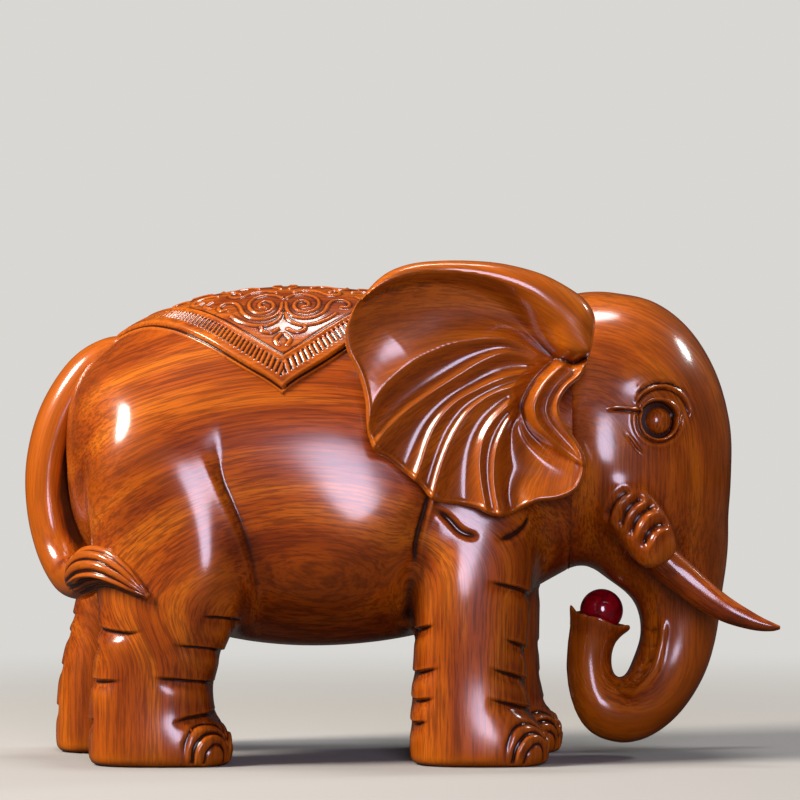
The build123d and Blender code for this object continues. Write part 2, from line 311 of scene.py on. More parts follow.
LEFT_HIND_STEP = -12.6
STEP_FADES_AT = 72.0
SHEATH = [  # x, y out, z, radius
    (54.5, 18.0, 82.0, 4.0),
    (59.0, 23.8, 75.6, 6.2),
    (62.6, 26.8, 70.6, 7.0),
    (66.8, 28.2, 64.4, 7.0),
    (70.4, 28.2, 58.6, 6.2),
    (72.2, 27.6, 55.6, 5.0),
]
RING_SIDES = 48
ROUGH_VOXEL, FINE_VOXEL = 1.3, 0.95  # mm
# fullness of the sections: 2 is an ellipse, and more is squarer
HEAD_FULL, LEG_FULL = 2.35, 2.8
TRUNK_TIP_ROUNDER = 0.55
SEAM_X = 47.5
THROAT_Z = 48.0


def torso_rings():
    return [
        oval((x, 0, (low + high) / 2), (0, 0, (high - low) / 2), (0, half, 0), RING_SIDES)
        for x, low, high, half in curve_through(TORSO, 5)
    ]


def trunk_rings():
    """Skull and trunk in one chain of sections, which grow rounder towards the trunk's tip."""
    rings = []
    for x, z, way, depth, half in curve_through(TRUNK, 5):
        turn = math.radians(way)
        forward = (-math.sin(turn) * depth, 0, math.cos(turn) * depth)
        full = HEAD_FULL - TRUNK_TIP_ROUNDER * ramp(-way, 115, 190)
        rings.append(oval((x, 0, z), forward, (0, half, 0), RING_SIDES, full))
    return rings


def leg_rings(stations, side, step):
    """A leg's sections. The step moves its foot along x and fades out towards the body."""
    rings = []
    for z, back, front, inner, outer in curve_through(stations, 4):
        shift = step * max(0.0, 1 - (max(z, 0.0) / STEP_FADES_AT) ** 3)
        centre = ((back + front) / 2 + shift, side * (inner + outer) / 2, z)
        long_way, wide_way = ((front - back) / 2, 0, 0), (0, (outer - inner) / 2, 0)
        rings.append(oval(centre, long_way, wide_way, RING_SIDES, LEG_FULL))
    return rings


def path_rings(stations, side=1.0, steps=4, flat=1.0, sides=28):
    """Round rings square to a bent path of (x, y, z, radius)."""
    rows = curve_through(stations, steps)
    rows[:, 1] *= side
    rings = []
    u = None
    for i, row in enumerate(rows):
        along = rows[min(i + 1, len(rows) - 1), :3] - rows[max(i - 1, 0), :3]
        along /= np.linalg.norm(along)
        if u is None:
            u = np.cross([0.0, 1.0, 0.0], along)
        u = u - along * (u @ along)
        u /= np.linalg.norm(u)
        v = np.cross(along, u)
        rings.append(oval(row[:3], u * row[3], v * row[3] * flat, sides))
    return rings


def ease_hollows(obj, rounds):
    """Fills the sharp hollows where forms meet, as a gouge leaves them, and keeps the outer shape."""
    points = places(obj)
    edges = neighbours(obj)
    for i in range(rounds):
        if i % 6 == 0:
            put(obj, points)
            normals = facing(obj)
        move = averages(points, edges) - points
        outward = (move * normals).sum(1)
        keep = ramp(outward, 0.004, 0.03)
        points = points + move * (0.6 * keep)[:, None] + move * 0.04
    put(obj, points)


def sand(obj, rounds):
    """Evens small steps out of a surface without shrinking it."""
    points = places(obj)
    edges = neighbours(obj)
    for _ in range(rounds):
        points = points + 0.5 * (averages(points, edges) - points)
        points = points - 0.51 * (averages(points, edges) - points)
    put(obj, points)


LEGS = [  # stations, side of the body, step along x
    (FRONT_LEG, -1, 0.0),
    (FRONT_LEG, 1, LEFT_FRONT_STEP),
    (HIND_LEG, -1, 0.0),
    (HIND_LEG, 1, LEFT_HIND_STEP),
]


def rough_block():
    """Torso, head, trunk, tusk sheaths and legs as one fused lump, with soft hollows between."""
    forms = [drawn_out("torso", torso_rings()), drawn_out("skull", trunk_rings())]
    forms += [drawn_out("sheath", path_rings(SHEATH, side)) for side in (-1, 1)]
    forms += [drawn_out("leg", leg_rings(*leg)) for leg in LEGS]
    lump = joined("block", forms)
    finish_with(lump, "REMESH", mode="VOXEL", voxel_size=ROUGH_VOXEL, adaptivity=0.0)
    ease_hollows(lump, 60)
    finish_with(lump, "REMESH", mode="VOXEL", voxel_size=FINE_VOXEL, adaptivity=0.0)
    sand(lump, 14)
    points = places(lump)
    x, y, z = points.T
    flank = ramp(z, 50, 66) * (1 - ramp(x, 16, 34))
    behind_arm = np.exp(-(((x - 4) / 6) ** 2 + ((z - 46) / 12) ** 2)) * ramp(np.abs(y), 20, 26)
    put(lump, eased(points, neighbours(lump), 0.6 * np.maximum(flank, behind_arm), 70))
    return lump


# ------------------------------------------------------------------------ cuts and creases


def note(obj, name, values, kind="FLOAT"):
    """Writes one value, or one vector, for each point of a piece."""
    layer = obj.data.attributes.get(name) or obj.data.attributes.new(name, kind, "POINT")
    key = "vector" if kind == "FLOAT_VECTOR" else "value"
    layer.data.foreach_set(key, np.ascontiguousarray(values, dtype=np.float32).ravel())


def recall(obj, name):
    """Reads the values that note wrote, or zeros where there are none."""
    values = np.zeros(len(obj.data.vertices), dtype=np.float32)
    layer = obj.data.attributes.get(name)
    if layer:
        layer.data.foreach_get("value", values)
    return values


def stain_and_shade(obj, rounds, gain=1.0, painted_light=0.0):
    """Notes how sunk in a hollow or raised on an edge each point is: painted shade in hollows and cuts,
    with staining there too, and paler edges from wear. The piece can also be made paler all over as
    painted light.
    """
    points, edges = places(obj), neighbours(obj)
    normals = facing(obj)
    smooth = points
    for _ in range(rounds):
        smooth = smooth + 0.8 * (averages(smooth, edges) - smooth)
    # painted shade where the surface is sunk and in the cuts, less any painted light asked for the
    # whole piece
    sunk = ((smooth - points) * normals).sum(1) * 2.2 * gain + 0.5 * recall(obj, "carved") - painted_light
    note(obj, "hollow", np.clip(sunk, -1, 1))
    if "carved" in obj.data.attributes:
        obj.data.attributes.remove(obj.data.attributes["carved"])


def nearest(path, points):
    """For each point: distance to a bent line, share of its length passed, and the nearest place."""
    starts, ends = path[:-1], path[1:]
    runs = ends - starts
    lengths = np.linalg.norm(runs, axis=1)
    before = np.concatenate([[0], np.cumsum(lengths)])
    best = np.full(len(points), 1e9)
    share = np.zeros(len(points))
    foot = np.zeros_like(points)
    heading = np.zeros_like(points)
    for start, run, length, passed in zip(starts, runs, lengths, before):
        t = np.clip(((points - start) @ run) / (length * length), 0, 1)
        place = start + t[:, None] * run
        gap = np.linalg.norm(points - place, axis=1)
        closer = gap < best
        best[closer] = gap[closer]
        share[closer] = (passed + t[closer] * length) / before[-1]
        foot[closer] = place[closer]
        heading[closer] = run / length
    return best, share, foot, heading


class Skin:
    """The surface being carved: its points, the directions they face, and what is asked of them."""

    def __init__(self, obj):
        self.obj = obj
        self.read()

    def read(self):
        self.points = places(self.obj)
        self.normals = facing(self.obj)
        self.depth = np.zeros(len(self.points))
        # painted shade in the cuts, which also hold staining
        self.dark = np.zeros(len(self.points))
        mesh = bmesh.new()
        mesh.from_mesh(self.obj.data)
        self.tree = BVHTree.FromBMesh(mesh)
        mesh.free()

    def hit(self, inside, way):
        return np.array(self.tree.ray_cast(Vector(inside), Vector(way))[0])

    def side_line(self, stations, side, start_y=0.0):
        """A line given by x and z as seen from the side, laid on the surface."""
        rows = curve_through(stations, 5)
        return np.array([self.hit((x, side * start_y, z), (0, side, 0)) for x, z in rows])

    def leg_line(self, leg, stations):
        """A line given by turn (0 ahead, 90 outward, 180 behind) and z, laid round a leg."""
        out = []
        for turn, z in curve_through(stations, 5):
            cx, cy, hx, hy = leg_section(leg, z)
            way = (math.cos(math.radians(turn)) * hx, leg[1] * math.sin(math.radians(turn)) * hy, 0)
            place = self.hit((cx, cy, z), way)
            if math.dist(place, (cx, cy, z)) < 1.35 * math.hypot(way[0], way[1]):
                out.append(place)
        return np.array(out)

    def near(self, path, reach):
        low, high = path.min(0) - reach, path.max(0) + reach
        return np.nonzero(((self.points > low) & (self.points < high)).all(1))[0]

    def cut(self, path, depth, width, lip=0.0, side=1.0, ends=(0.25, 0.25), ledge=0.0, stain_and_shade=1.0):
        """A gouge cut along a line, with a lip raised on one side or a ledge sloping into it.

        A negative depth is a ridge. The last argument says how darkly the cut is painted: painted shade
        in the groove, with staining.
        """
        reach = width * 4 + ledge * 2.5
        chosen = self.near(path, reach)
        gap, share, foot, heading = nearest(path, self.points[chosen])
        across = np.cross(heading, self.normals[chosen])
        offset = ((self.points[chosen] - foot) * across).sum(1) * side
        fade = np.ones(len(chosen))
        if ends[0]:
            fade *= ramp(share, 0, ends[0])
        if ends[1]:
            fade *= ramp(1 - share, 0, ends[1])
        fade *= gap < reach
        groove = bell(gap, width)
        if ledge:
            sloping = np.maximum(gap, np.maximum(offset, 0))
            deep = np.where(offset > 0, np.maximum(groove, 0.9 * bell(sloping, ledge)), groove)
        else:
            deep = groove
        raised = lip * bell(offset - 1.7 * width, width)
        self.depth[chosen] += fade * (raised - depth * deep)
        # painted shade in the groove, with staining
        self.dark[chosen] += stain_and_shade * max(depth, 0) * fade * groove

    def fold(self, path, rise, soft, crisp, side, crest, low, high):
        """One form standing over the next: swells to a crest, then breaks over a crisp edge.

        The edge is soft where the path starts, and the fold fades out towards both given heights.
        """
        reach = soft * 2.6 + crest * 2
        chosen = self.near(path, reach)
        gap, share, foot, heading = nearest(path, self.points[chosen])
        across = np.cross(heading, self.normals[chosen])
        offset = ((self.points[chosen] - foot) * across).sum(1) * side
        blunt = 1 - ramp(share, 0, 0.42)
        crest = crest * (1 + 0.9 * blunt)
        behind = rise * bell(offset + crest, soft)
        edge = rise * bell(crest, soft)
        ahead = edge * np.clip(1 - offset / (crisp * (1 + 4 * blunt)), 0, 1)
        heights = self.points[chosen, 2]
        fade = ramp(heights, low, low + 20) * (1 - ramp(heights, high - 22, high)) * (gap < reach)
        self.depth[chosen] += fade * np.where(offset > 0, ahead, behind)

    def swell(self, centre, reach, height):
        """A soft swelling, or a hollow if the height is negative."""
        away = (self.points - np.array(centre, float)) / np.array(reach, float)
        self.depth += height * np.exp(-(away**2).sum(1))

    def swells(self, rows):
        """The same swellings on both sides."""
        for side in (-1, 1):
            for (x, y, z), reach, height in rows:
                self.swell((x, side * y, z), reach, height)

    def apply(self):
        self.points = self.points + self.normals * self.depth[:, None]
        put(self.obj, self.points)
        # the cuts' painted shade, with staining, is kept in the carved attribute
        if self.dark.any():
            note(self.obj, "carved", recall(self.obj, "carved") + self.dark)
        self.read()

    def refine(self, paths, reach):
        """Halves the faces near the given lines."""
        close = np.zeros(len(self.points), bool)
        for path in paths:
            chosen = self.near(path, reach)
            gap = nearest(path, self.points[chosen])[0]
            close[chosen[gap < reach]] = True
        mesh = self.obj.data
        mesh.vertices.foreach_set("select", np.zeros(len(mesh.vertices), bool))
        mesh.edges.foreach_set("select", np.zeros(len(mesh.edges), bool))
        faces = [all(close[i] for i in face.vertices) for face in mesh.polygons]
        mesh.polygons.foreach_set("select", faces)
        with editing(self.obj, select=None):
            bpy.ops.mesh.select_mode(type="FACE")
            bpy.ops.mesh.subdivide(number_cuts=1, smoothness=1.0, quadcorner="INNERVERT")
            bpy.ops.mesh.select_mode(type="VERT")
        self.read()


def leg_section(leg, z):
    """A leg's centre and half sizes at a height."""
    stations, side, step = leg
    rows = curve_through(stations, 4)
    back, front, inner, outer = (np.interp(z, rows[:, 0], rows[:, k]) for k in (1, 2, 3, 4))
    shift = step * max(0.0, 1 - (z / STEP_FADES_AT) ** 3)
    centre = ((back + front) / 2 + shift, side * (inner + outer) / 2)
    return *centre, (front - back) / 2, (outer - inner) / 2


MUSCLES = [  # centre, reach and height of each swell on the body, for y out to either side
    ((-53, 39, 46), (13, 14, 18), 3.2),  # knee
    ((4, 40, 62), (22, 14, 18), 1.6),  # behind the shoulder
    ((24, 33, 78), (12, 10, 9), 0.6),  # shoulder
    ((-14, 36, 46), (27, 14, 15), 3.8),  # belly
    ((-13, 40, 61), (26, 16, 19), 3.2),  # flank
    ((-70, 36, 90), (26, 16, 15), 1.3),  # rump
]
CHEEKS = [
    ((54, 31, 86), (11, 12, 15), 1.8),  # under the ear
    ((58, 30, 106), (9, 12, 7), -0.8),  # temple
    ((66, 25, 63), (9, 9, 8), 0.6),  # round the tusk's sheath
]
THIGH_RIDGE = [
    (-60.6, 98.4), (-57.2, 92.6), (-53.0, 84.4), (-48.8, 75.4),
    (-45.0, 66.6), (-42.4, 58.6), (-41.2, 51.6), (-41.2, 43.0),
]  # fmt: skip
ARMPIT = [(9.0, 78.0), (7.4, 71.0), (5.0, 62.0), (4.2, 54.0), (3.6, 44.0), (3.2, 37.0)]
ARM_LOBES = [
    [(9.5, 70.5), (13.4, 67.6), (17.2, 63.8), (22.6, 62.4)],
    [(26.0, 61.4), (30.7, 62.8), (34.8, 65.7), (35.8, 69.5)],
]
FRONT_CREASES = [  # turn and z along each crease of a front leg
    [(206, 38.0), (182, 36.8), (152, 37.0), (124, 38.6)],
    [(206, 26.6), (182, 25.2), (152, 25.2), (116, 27.0)],
    [(202, 19.4), (180, 18.2), (150, 17.6), (120, 18.8)],
    [(204, 12.4), (180, 11.6), (152, 11.4), (128, 12.4)],
    [(84, 50.5), (58, 49.0), (30, 47.2), (-2, 46.2), (-26, 46.0)],
    [(62, 35.0), (46, 33.6), (24, 32.2), (-4, 31.2), (-26, 31.0)],
    [(74, 27.2), (56, 25.6), (30, 23.8), (-2, 22.6), (-24, 22.4)],
    [(76, 18.8), (56, 17.4), (30, 15.9), (-2, 15.0), (-24, 15.0)],
]
HIND_CREASES = [
    [(214, 39.4), (184, 38.4), (150, 37.4), (116, 36.4), (100, 37.4)],
    [(210, 34.6), (184, 33.8), (162, 32.8), (146, 33.2)],
    [(212, 24.8), (184, 24.0), (150, 23.2), (112, 23.4)],
    [(210, 13.0), (184, 12.4), (160, 12.0), (142, 12.8)],
    [(66, 41.2), (42, 40.2), (12, 39.2), (-20, 38.8)],
    [(80, 33.4), (52, 32.2), (24, 31.0), (-4, 30.6), (-24, 30.6)],
    [(90, 24.4), (64, 23.6), (38, 22.8), (8, 22.2), (-20, 22.2)],
    [(74, 11.6), (58, 13.4), (34, 14.2), (2, 14.4), (-24, 15.0)],
]


def carve_body(skin):
    """Muscles first, then the folds of the legs."""
    skin.refine([skin.side_line(THIGH_RIDGE, side) for side in (-1, 1)], 4.5)
    for side in (-1, 1):
        thigh = skin.side_line(THIGH_RIDGE, side)
        skin.fold(thigh, rise=2.4, soft=12.0, crisp=2.3, side=side, crest=6.0, low=40, high=118)
        skin.cut(skin.side_line(ARMPIT, side), depth=1.4, width=3.6, ends=(0.3, 0.2), stain_and_shade=0.0)
    skin.swells(MUSCLES)
    skin.apply()
    wide, fine = [], []
    for leg in LEGS:
        creases = FRONT_CREASES if leg[0] is FRONT_LEG else HIND_CREASES
        fine += [skin.leg_line(leg, stations) for stations in creases]
    for side in (-1, 1):
        for lobe in ARM_LOBES:
            wide.append((skin.side_line(lobe, side, 10.0), dict(depth=0.9, width=1.0, stain_and_shade=0.6)))
        pit = dict(depth=0.8, width=0.9, lip=0.4, side=side, stain_and_shade=0.15)
        wide.append((skin.side_line(ARMPIT[:4], side), pit))
    skin.refine([line for line, _ in wide] + fine, 3.2)
    skin.refine(fine, 1.7)
    sand(skin.obj, 3)
    skin.read()
    for line in fine:
        turned = 1.0 if line[0][1] * (line[0][0] - line[-1][0]) > 0 else -1.0
        skin.cut(line, depth=1.5, width=0.45, side=turned, ends=(0.25, 0.3), ledge=2.3)
    for line, gouge in wide:
        skin.cut(line, ends=(0.3, 0.25), **gouge)
    skin.apply()


NAIL_TURNS = (42, -2, -44)
NAIL = [(-21, 0.6), (-19, 5.0), (-11, 8.2), (0, 9.2), (11, 8.2), (19, 5.0), (21, 0.6)]
NAIL_HOOD = [(-27, 1.0), (-25, 6.6), (-15, 10.6), (0, 11.8), (15, 10.6), (25, 6.6), (27, 1.0)]
NAIL_BED = [(-11, 0.6), (-10, 3.6), (-5, 5.6), (0, 6.1), (5, 5.6), (10, 3.6), (11, 0.6)]
NAIL_ARCHES = [  # turn and z along each arch, and its gouge
    (NAIL, dict(depth=0.9, width=0.6, lip=0.3, side=-1.0, ends=(0.05, 0.05))),
    (NAIL_BED, dict(depth=0.55, width=0.5, ends=(0.05, 0.05))),
    (NAIL_HOOD, dict(depth=0.55, width=0.5, ends=(0.05, 0.25))),
]


def carve_feet(skin):
    """Three toenails to a foot, each an arch inside an arch."""
    arches = []
    for leg, turn, (arch, gouge) in itertools.product(LEGS, NAIL_TURNS, NAIL_ARCHES):
        arches.append((skin.leg_line(leg, [(turn + t, z) for t, z in arch]), gouge))
    skin.refine([line for line, _ in arches], 1.6)
    sand(skin.obj, 2)
    skin.read()
    for line, gouge in arches:
        if "lip" in gouge:
            skin.swell(line.mean(0), (5, 5, 5), 0.7)
        skin.cut(line, **gouge)
    skin.apply()


EYE_X, EYE_Z = 71.1, 93.9
BROW_OFFSET = (0.8, 1.1)  # the brow's centre, ahead of the eye's and above it
SHEATH_FOLDS = [
    [(56.4, 66.6), (57.6, 70.6), (60.2, 73.8), (63.4, 75.4)],
    [(59.8, 64.2), (61.0, 68.2), (63.6, 71.6), (67.2, 73.6)],
    [(62.8, 61.8), (63.8, 65.8), (66.4, 69.2), (70.4, 71.4)],
    [(66.4, 58.8), (67.4, 62.4), (70.0, 65.4), (73.6, 66.6)],
]
SHEATH_SIDE = [
    (64.4, 78.2), (68.8, 75.4), (72.8, 71.0), (75.8, 65.6), (77.6, 60.0), (79.6, 55.0), (83.6, 50.0),
]  # fmt: skip
TEMPLE = [(56.4, 96.9), (60.0, 96.9), (63.6, 96.6), (66.6, 96.2)]
UNDER_EYE = [(61.6, 90.8), (63.4, 88.2), (65.0, 86.0), (66.8, 84.2)]
SHEATH_GOUGE = dict(depth=1.5, width=1.2, lip=0.5, ends=(0.2, 0.15), stain_and_shade=0.5)
HEAD_CUTS = [(fold, -1, SHEATH_GOUGE) for fold in SHEATH_FOLDS] + [  # line, side of its lip, gouge
    (SHEATH_SIDE, 1, dict(depth=1.1, width=1.6, ends=(0.25, 0.3), stain_and_shade=0.3)),
    (TEMPLE, 1, dict(depth=0.9, width=0.36, lip=0.4, ends=(0.4, 0.1))),
    (UNDER_EYE, 1, dict(depth=0.3, width=0.36, lip=0.35, ends=(0.4, 0.4))),
]
TRUNK_EDGE = [
    (73.6, 40.6), (73.4, 35.0), (72.4, 29.6), (70.9, 24.6),
    (68.5, 21.0), (65.6, 18.6), (62.6, 18.8), (60.6, 20.6),
]  # fmt: skip
TRUNK_FOLDS = [
    [(73.0, 37.0), (70.4, 35.8), (68.0, 36.2)],
    [(72.6, 32.6), (69.8, 31.2), (67.4, 31.8)],
    [(71.6, 28.4), (68.8, 27.0), (66.4, 27.8)],
    [(69.8, 24.8), (67.4, 23.8), (65.2, 24.6)],
    [(67.2, 21.8), (65.2, 21.4), (63.6, 22.4)],
]
MOUTH = np.array([55.9, 0.0, 38.8])
MOUTH_TILT = math.radians(71)
MOUTH_UP = np.array([math.cos(MOUTH_TILT), 0.0, math.sin(MOUTH_TILT)])
MOUTH_AHEAD = np.array([math.sin(MOUTH_TILT), 0.0, -math.cos(MOUTH_TILT)])
MOUTH_RADIUS = 8.5
BEAD_AT = np.array([56.3, 0.0, 40.7])
BEAD_SEAT = 6.3


def carve_eye(skin, side):
    """A round socket with a raised rim, a folded lid above it and a brow over the lid."""
    u = skin.points[:, 0] - EYE_X
    v = skin.points[:, 2] - EYE_Z
    r = np.hypot(u, v)
    near = (skin.points[:, 1] * side > 12) & (r < 34)
    turn = np.degrees(np.arctan2(v, u))
    above = ramp(turn, 0, 25) * (1 - ramp(turn, 138, 158))
    below = 1 - above
    arc = np.hypot(u - BROW_OFFSET[0], v - BROW_OFFSET[1])
    brow = ramp(turn, 0, 22) * (1 - ramp(turn, 128, 146))
    upper = ramp(turn, 40, 70) * (1 - ramp(turn, 118, 134))
    socket = 4.5 + 0.75 * above
    hole = 1 - ramp(r, socket, socket + 0.4)
    ring = bell(r - socket - 0.75, 0.3)
    beside = bell(r - socket - 1.4, 0.36) * below
    fold = bell(arc - 7.5, 0.36) * brow
    second = bell(arc - 9.2, 0.36) * upper
    depth = 0.6 * bell(r, 8.0) - 2.7 * hole
    depth += 0.6 * ring * (0.6 + 0.4 * below) - 0.5 * beside
    depth += 0.35 * bell(r - 6.9, 0.7) * below
    depth += 0.55 * bell(arc - 8.2, 0.5) * brow - 0.65 * fold
    depth += 0.3 * bell(arc - 9.9, 0.5) * upper - 0.4 * second
    depth += 0.8 * np.exp(-(((u + 3) / 9) ** 2 + ((v - 12.5) / 4.5) ** 2))
    skin.depth[near] += depth[near]
    # painted shade in the socket and in the folds of the lid and brow
    skin.dark[near] += (1.6 * hole + 0.7 * beside + 0.8 * fold + 0.5 * second)[near]


def round_eye(radius, degrees, ahead=0.0, up=0.0):
    """Places on a circle round the eye, for x and z."""
    x, z = EYE_X + ahead, EYE_Z + up
    return [(x + radius * math.cos(t), z + radius * math.sin(t)) for t in np.radians(degrees)]


def carve_head(skin):
    """The cheeks' swells first, then the folds of the tusk sheaths, the eyes and the trunk."""
    skin.swells(CHEEKS)
    skin.apply()
    lines, eyes, rims, trunk_edges, trunk_folds = [], [], [], [], []
    for side in (-1, 1):
        for stations, lip_side, gouge in HEAD_CUTS:
            lines.append((skin.side_line(stations, side), side * lip_side, gouge))
        eyes.append(skin.side_line(round_eye(6.5, np.linspace(0, 360, 13)), side))
        for stations in (
            round_eye(5.33, np.linspace(0, 360, 13)),
            round_eye(7.6, np.linspace(0, 146, 9), *BROW_OFFSET),
            TEMPLE,
            UNDER_EYE,
        ):
            rims.append(skin.side_line(stations, side))
        trunk_edges.append(skin.side_line(TRUNK_EDGE, side))
        trunk_folds += [skin.side_line(fold, side) for fold in TRUNK_FOLDS]
    rim = oval(MOUTH, MOUTH_AHEAD * MOUTH_RADIUS, (0, MOUTH_RADIUS, 0), 48)
    rim = np.vstack([rim, rim[:1]])
    detailed = [line for line, _, _ in lines] + eyes + [rim]
    skin.refine(detailed + trunk_edges + trunk_folds, 4.4)
    skin.refine(detailed, 2.9)
    skin.refine(rims, 1.5)
    sand(skin.obj, 3)
    skin.read()
    for line, lip_side, gouge in lines:
        skin.cut(line, side=lip_side, **gouge)
    for side in (-1, 1):
        carve_eye(skin, side)
    for line in trunk_edges:
        skin.cut(line, depth=-1.0, width=1.1, ends=(0.15, 0.12))
    for line in trunk_folds:
        skin.cut(line, depth=0.35, width=0.8, ends=(0.3, 0.3), stain_and_shade=0.3)
    skin.apply()
    open_mouth(skin)


def open_mouth(skin):
    """Flares the rim of the trunk's tip into a wavy lip and hollows the seat for the bead."""
    away = skin.points - MOUTH
    up = away @ MOUTH_UP
    flat = away - up[:, None] * MOUTH_UP
    reach = np.linalg.norm(flat, axis=1)
    turn = np.arctan2(away[:, 1], away @ MOUTH_AHEAD)
    outward = flat / np.maximum(reach, 1e-6)[:, None]
    wave = 0.35 * np.cos(5 * turn + 2.4) - 0.1 * np.cos(turn)
    on_rim = np.exp(-(((reach - MOUTH_RADIUS + 0.4) / 1.5) ** 2 + ((up + 0.2) / 2.2) ** 2))
    ahead = ramp(np.cos(turn), 0.2, 1.0)
    points = skin.points + (on_rim * (0.8 + 0.7 * ahead))[:, None] * outward
    points += (on_rim * (1.0 + wave))[:, None] * MOUTH_UP
    inside = (reach < MOUTH_RADIUS) & (np.abs(up) < 4)
    bowl = 2.6 * (1 - ramp(reach, 3.0, 8.2)) * inside
    points -= bowl[:, None] * MOUTH_UP
    from_bead = points - BEAD_AT
    gap = np.linalg.norm(from_bead, axis=1)
    push = np.maximum(BEAD_SEAT - gap, 0) * (gap < BEAD_SEAT)
    points += from_bead / np.maximum(gap, 1e-6)[:, None] * push[:, None]
    put(skin.obj, points)
    skin.read()


block = rough_block()
skin = Skin(block)
carve_body(skin)
carve_feet(skin)
carve_head(skin)

# ------------------------------------------------------------------------ ears

EAR_OUTLINE = [
    (-14.8, 115.5), (-14.6, 118.8), (-12.2, 124.1), (-8.8, 128.4), (-5.0, 132.3), (-0.7, 134.9),
    (5.6, 136.6), (15.2, 137.2), (24.8, 136.8), (32.0, 135.6), (39.2, 133.5), (45.5, 130.4),
    (50.3, 127.1), (53.0, 123.4), (53.4, 119.8), (52.7, 115.0), (51.7, 111.2), (49.6, 106.3),
    (45.6, 102.6), (43.6, 98.8), (44.0, 95.3), (46.1, 91.9), (48.8, 87.8), (50.6, 83.7),
    (50.6, 79.6), (48.8, 75.6), (45.4, 73.4), (41.3, 72.3), (37.9, 72.0), (33.8, 70.2),
    (29.6, 68.3), (25.5, 68.3), (21.4, 70.2), (16.5, 71.3), (11.1, 72.0), (8.4, 73.4),
    (5.6, 76.8), (1.5, 80.2), (-2.6, 83.7), (-6.1, 85.7), (-7.8, 89.2), (-8.5, 93.3),
    (-8.8, 98.8), (-9.8, 103.6), (-11.5, 108.4), (-13.9, 112.5),
]  # fmt: skip
EAR_MIDDLE = np.array([29.0, 101.0])
EAR_CENTRE = (44.0, 98.0)
EAR_BACK_Y, EAR_THICKNESS, EAR_DISH = 34.6, 3.4, 150.0
EAR_ROOT, EAR_ROOT_HALF, EAR_ROOT_DEPTH = (45.6, 103.0), (8.5, 15.0), 17.0
EAR_NOTCH = np.array([41.6, 110.6])
ROLL_END = [(42.6, 111.4), (47.4, 109.7), (52.4, 112.2)]
ROLL_FOOT = [
    (-13.6, 119.5), (-11.0, 124.4), (-8.0, 126.8), (-2.7, 128.9), (6.0, 130.4),
    (13.7, 130.4), (21.4, 128.5), (30.0, 124.0), (35.8, 118.3),
] + ROLL_END  # fmt: skip
ROLL_SPINE = [(33, 127), (39, 123), (43, 118), (44.6, 113.4)]
STRIP_FOOT = [
    (42.6, 111.0), (37.3, 105.8), (34.1, 100.5), (33.4, 96.6), (35.3, 91.3), (40.0, 87.0),
    (45.0, 84.0), (50.9, 81.4),
]  # fmt: skip
EAR_CRESTS = [
    [(40.6, 110.1), (33.4, 114.6), (26.2, 116.3), (16.1, 115.1), (9.8, 112.9), (3.6, 109.6),
     (-3.2, 103.8), (-6.8, 98.1), (-8.8, 90.0)],
    [(38.9, 109.2), (34.9, 111.2), (30.0, 112.2), (26.2, 111.6), (21.4, 109.4), (15.6, 105.8),
     (9.0, 101.6), (2.6, 97.0), (-3.2, 91.6), (-7.0, 86.4)],
    [(37.9, 107.4), (31.0, 106.2), (26.2, 104.6), (21.4, 102.4), (16.6, 99.8), (12.7, 96.4),
     (9.8, 92.3), (7.9, 88.0), (6.3, 83.0), (4.4, 77.4)],
    [(35.4, 104.6), (30.4, 103.0), (25.4, 101.2), (19.9, 97.4), (16.4, 92.8), (13.7, 87.6),
     (11.3, 81.2), (9.0, 72.6)],
    [(33.6, 101.4), (29.2, 97.8), (25.4, 93.6), (22.9, 88.9), (22.0, 83.6), (22.3, 77.8), (23.8, 69.4)],
    [(32.6, 98.0), (29.0, 92.6), (26.6, 86.4), (25.8, 79.6), (26.4, 73.4), (27.8, 67.4)],
]  # fmt: skip
EAR_SCOOP_RIM = [
    (34.4, 93.0), (38.6, 88.0), (43.4, 85.2), (48.4, 82.4),
    (49.8, 78.6), (46.8, 75.2), (41.4, 73.6), (36.0, 72.6),
]  # fmt: skip
EAR_FLOOR, CREST_HEIGHT, NOTCH_SINKS = -2.0, 2.3, 1.4  # from the dish, mm
ROLL_CROWN = 0.52  # share of the way from the roll's foot to the rim at which it is highest


def inside(loop, points):
    """Which points lie inside a closed line."""
    within = np.zeros(len(points), bool)
    for (x0, z0), (x1, z1) in zip(loop, np.roll(loop, -1, axis=0)):
        crosses = (z0 > points[:, 1]) != (z1 > points[:, 1])
        with np.errstate(divide="ignore", invalid="ignore"):
            at = (x1 - x0) * (points[:, 1] - z0) / (z1 - z0) + x0
        within ^= crosses & (points[:, 0] < at)
    return within


def gap_to(line, points):
    return nearest(np.asarray(line, float), points)[0]


def rounded_edge(gap, radius):
    """How far a face curls in beside its edge, for the distance to that edge."""
    return radius - np.sqrt(radius**2 - np.clip(radius - gap, 0, radius) ** 2)


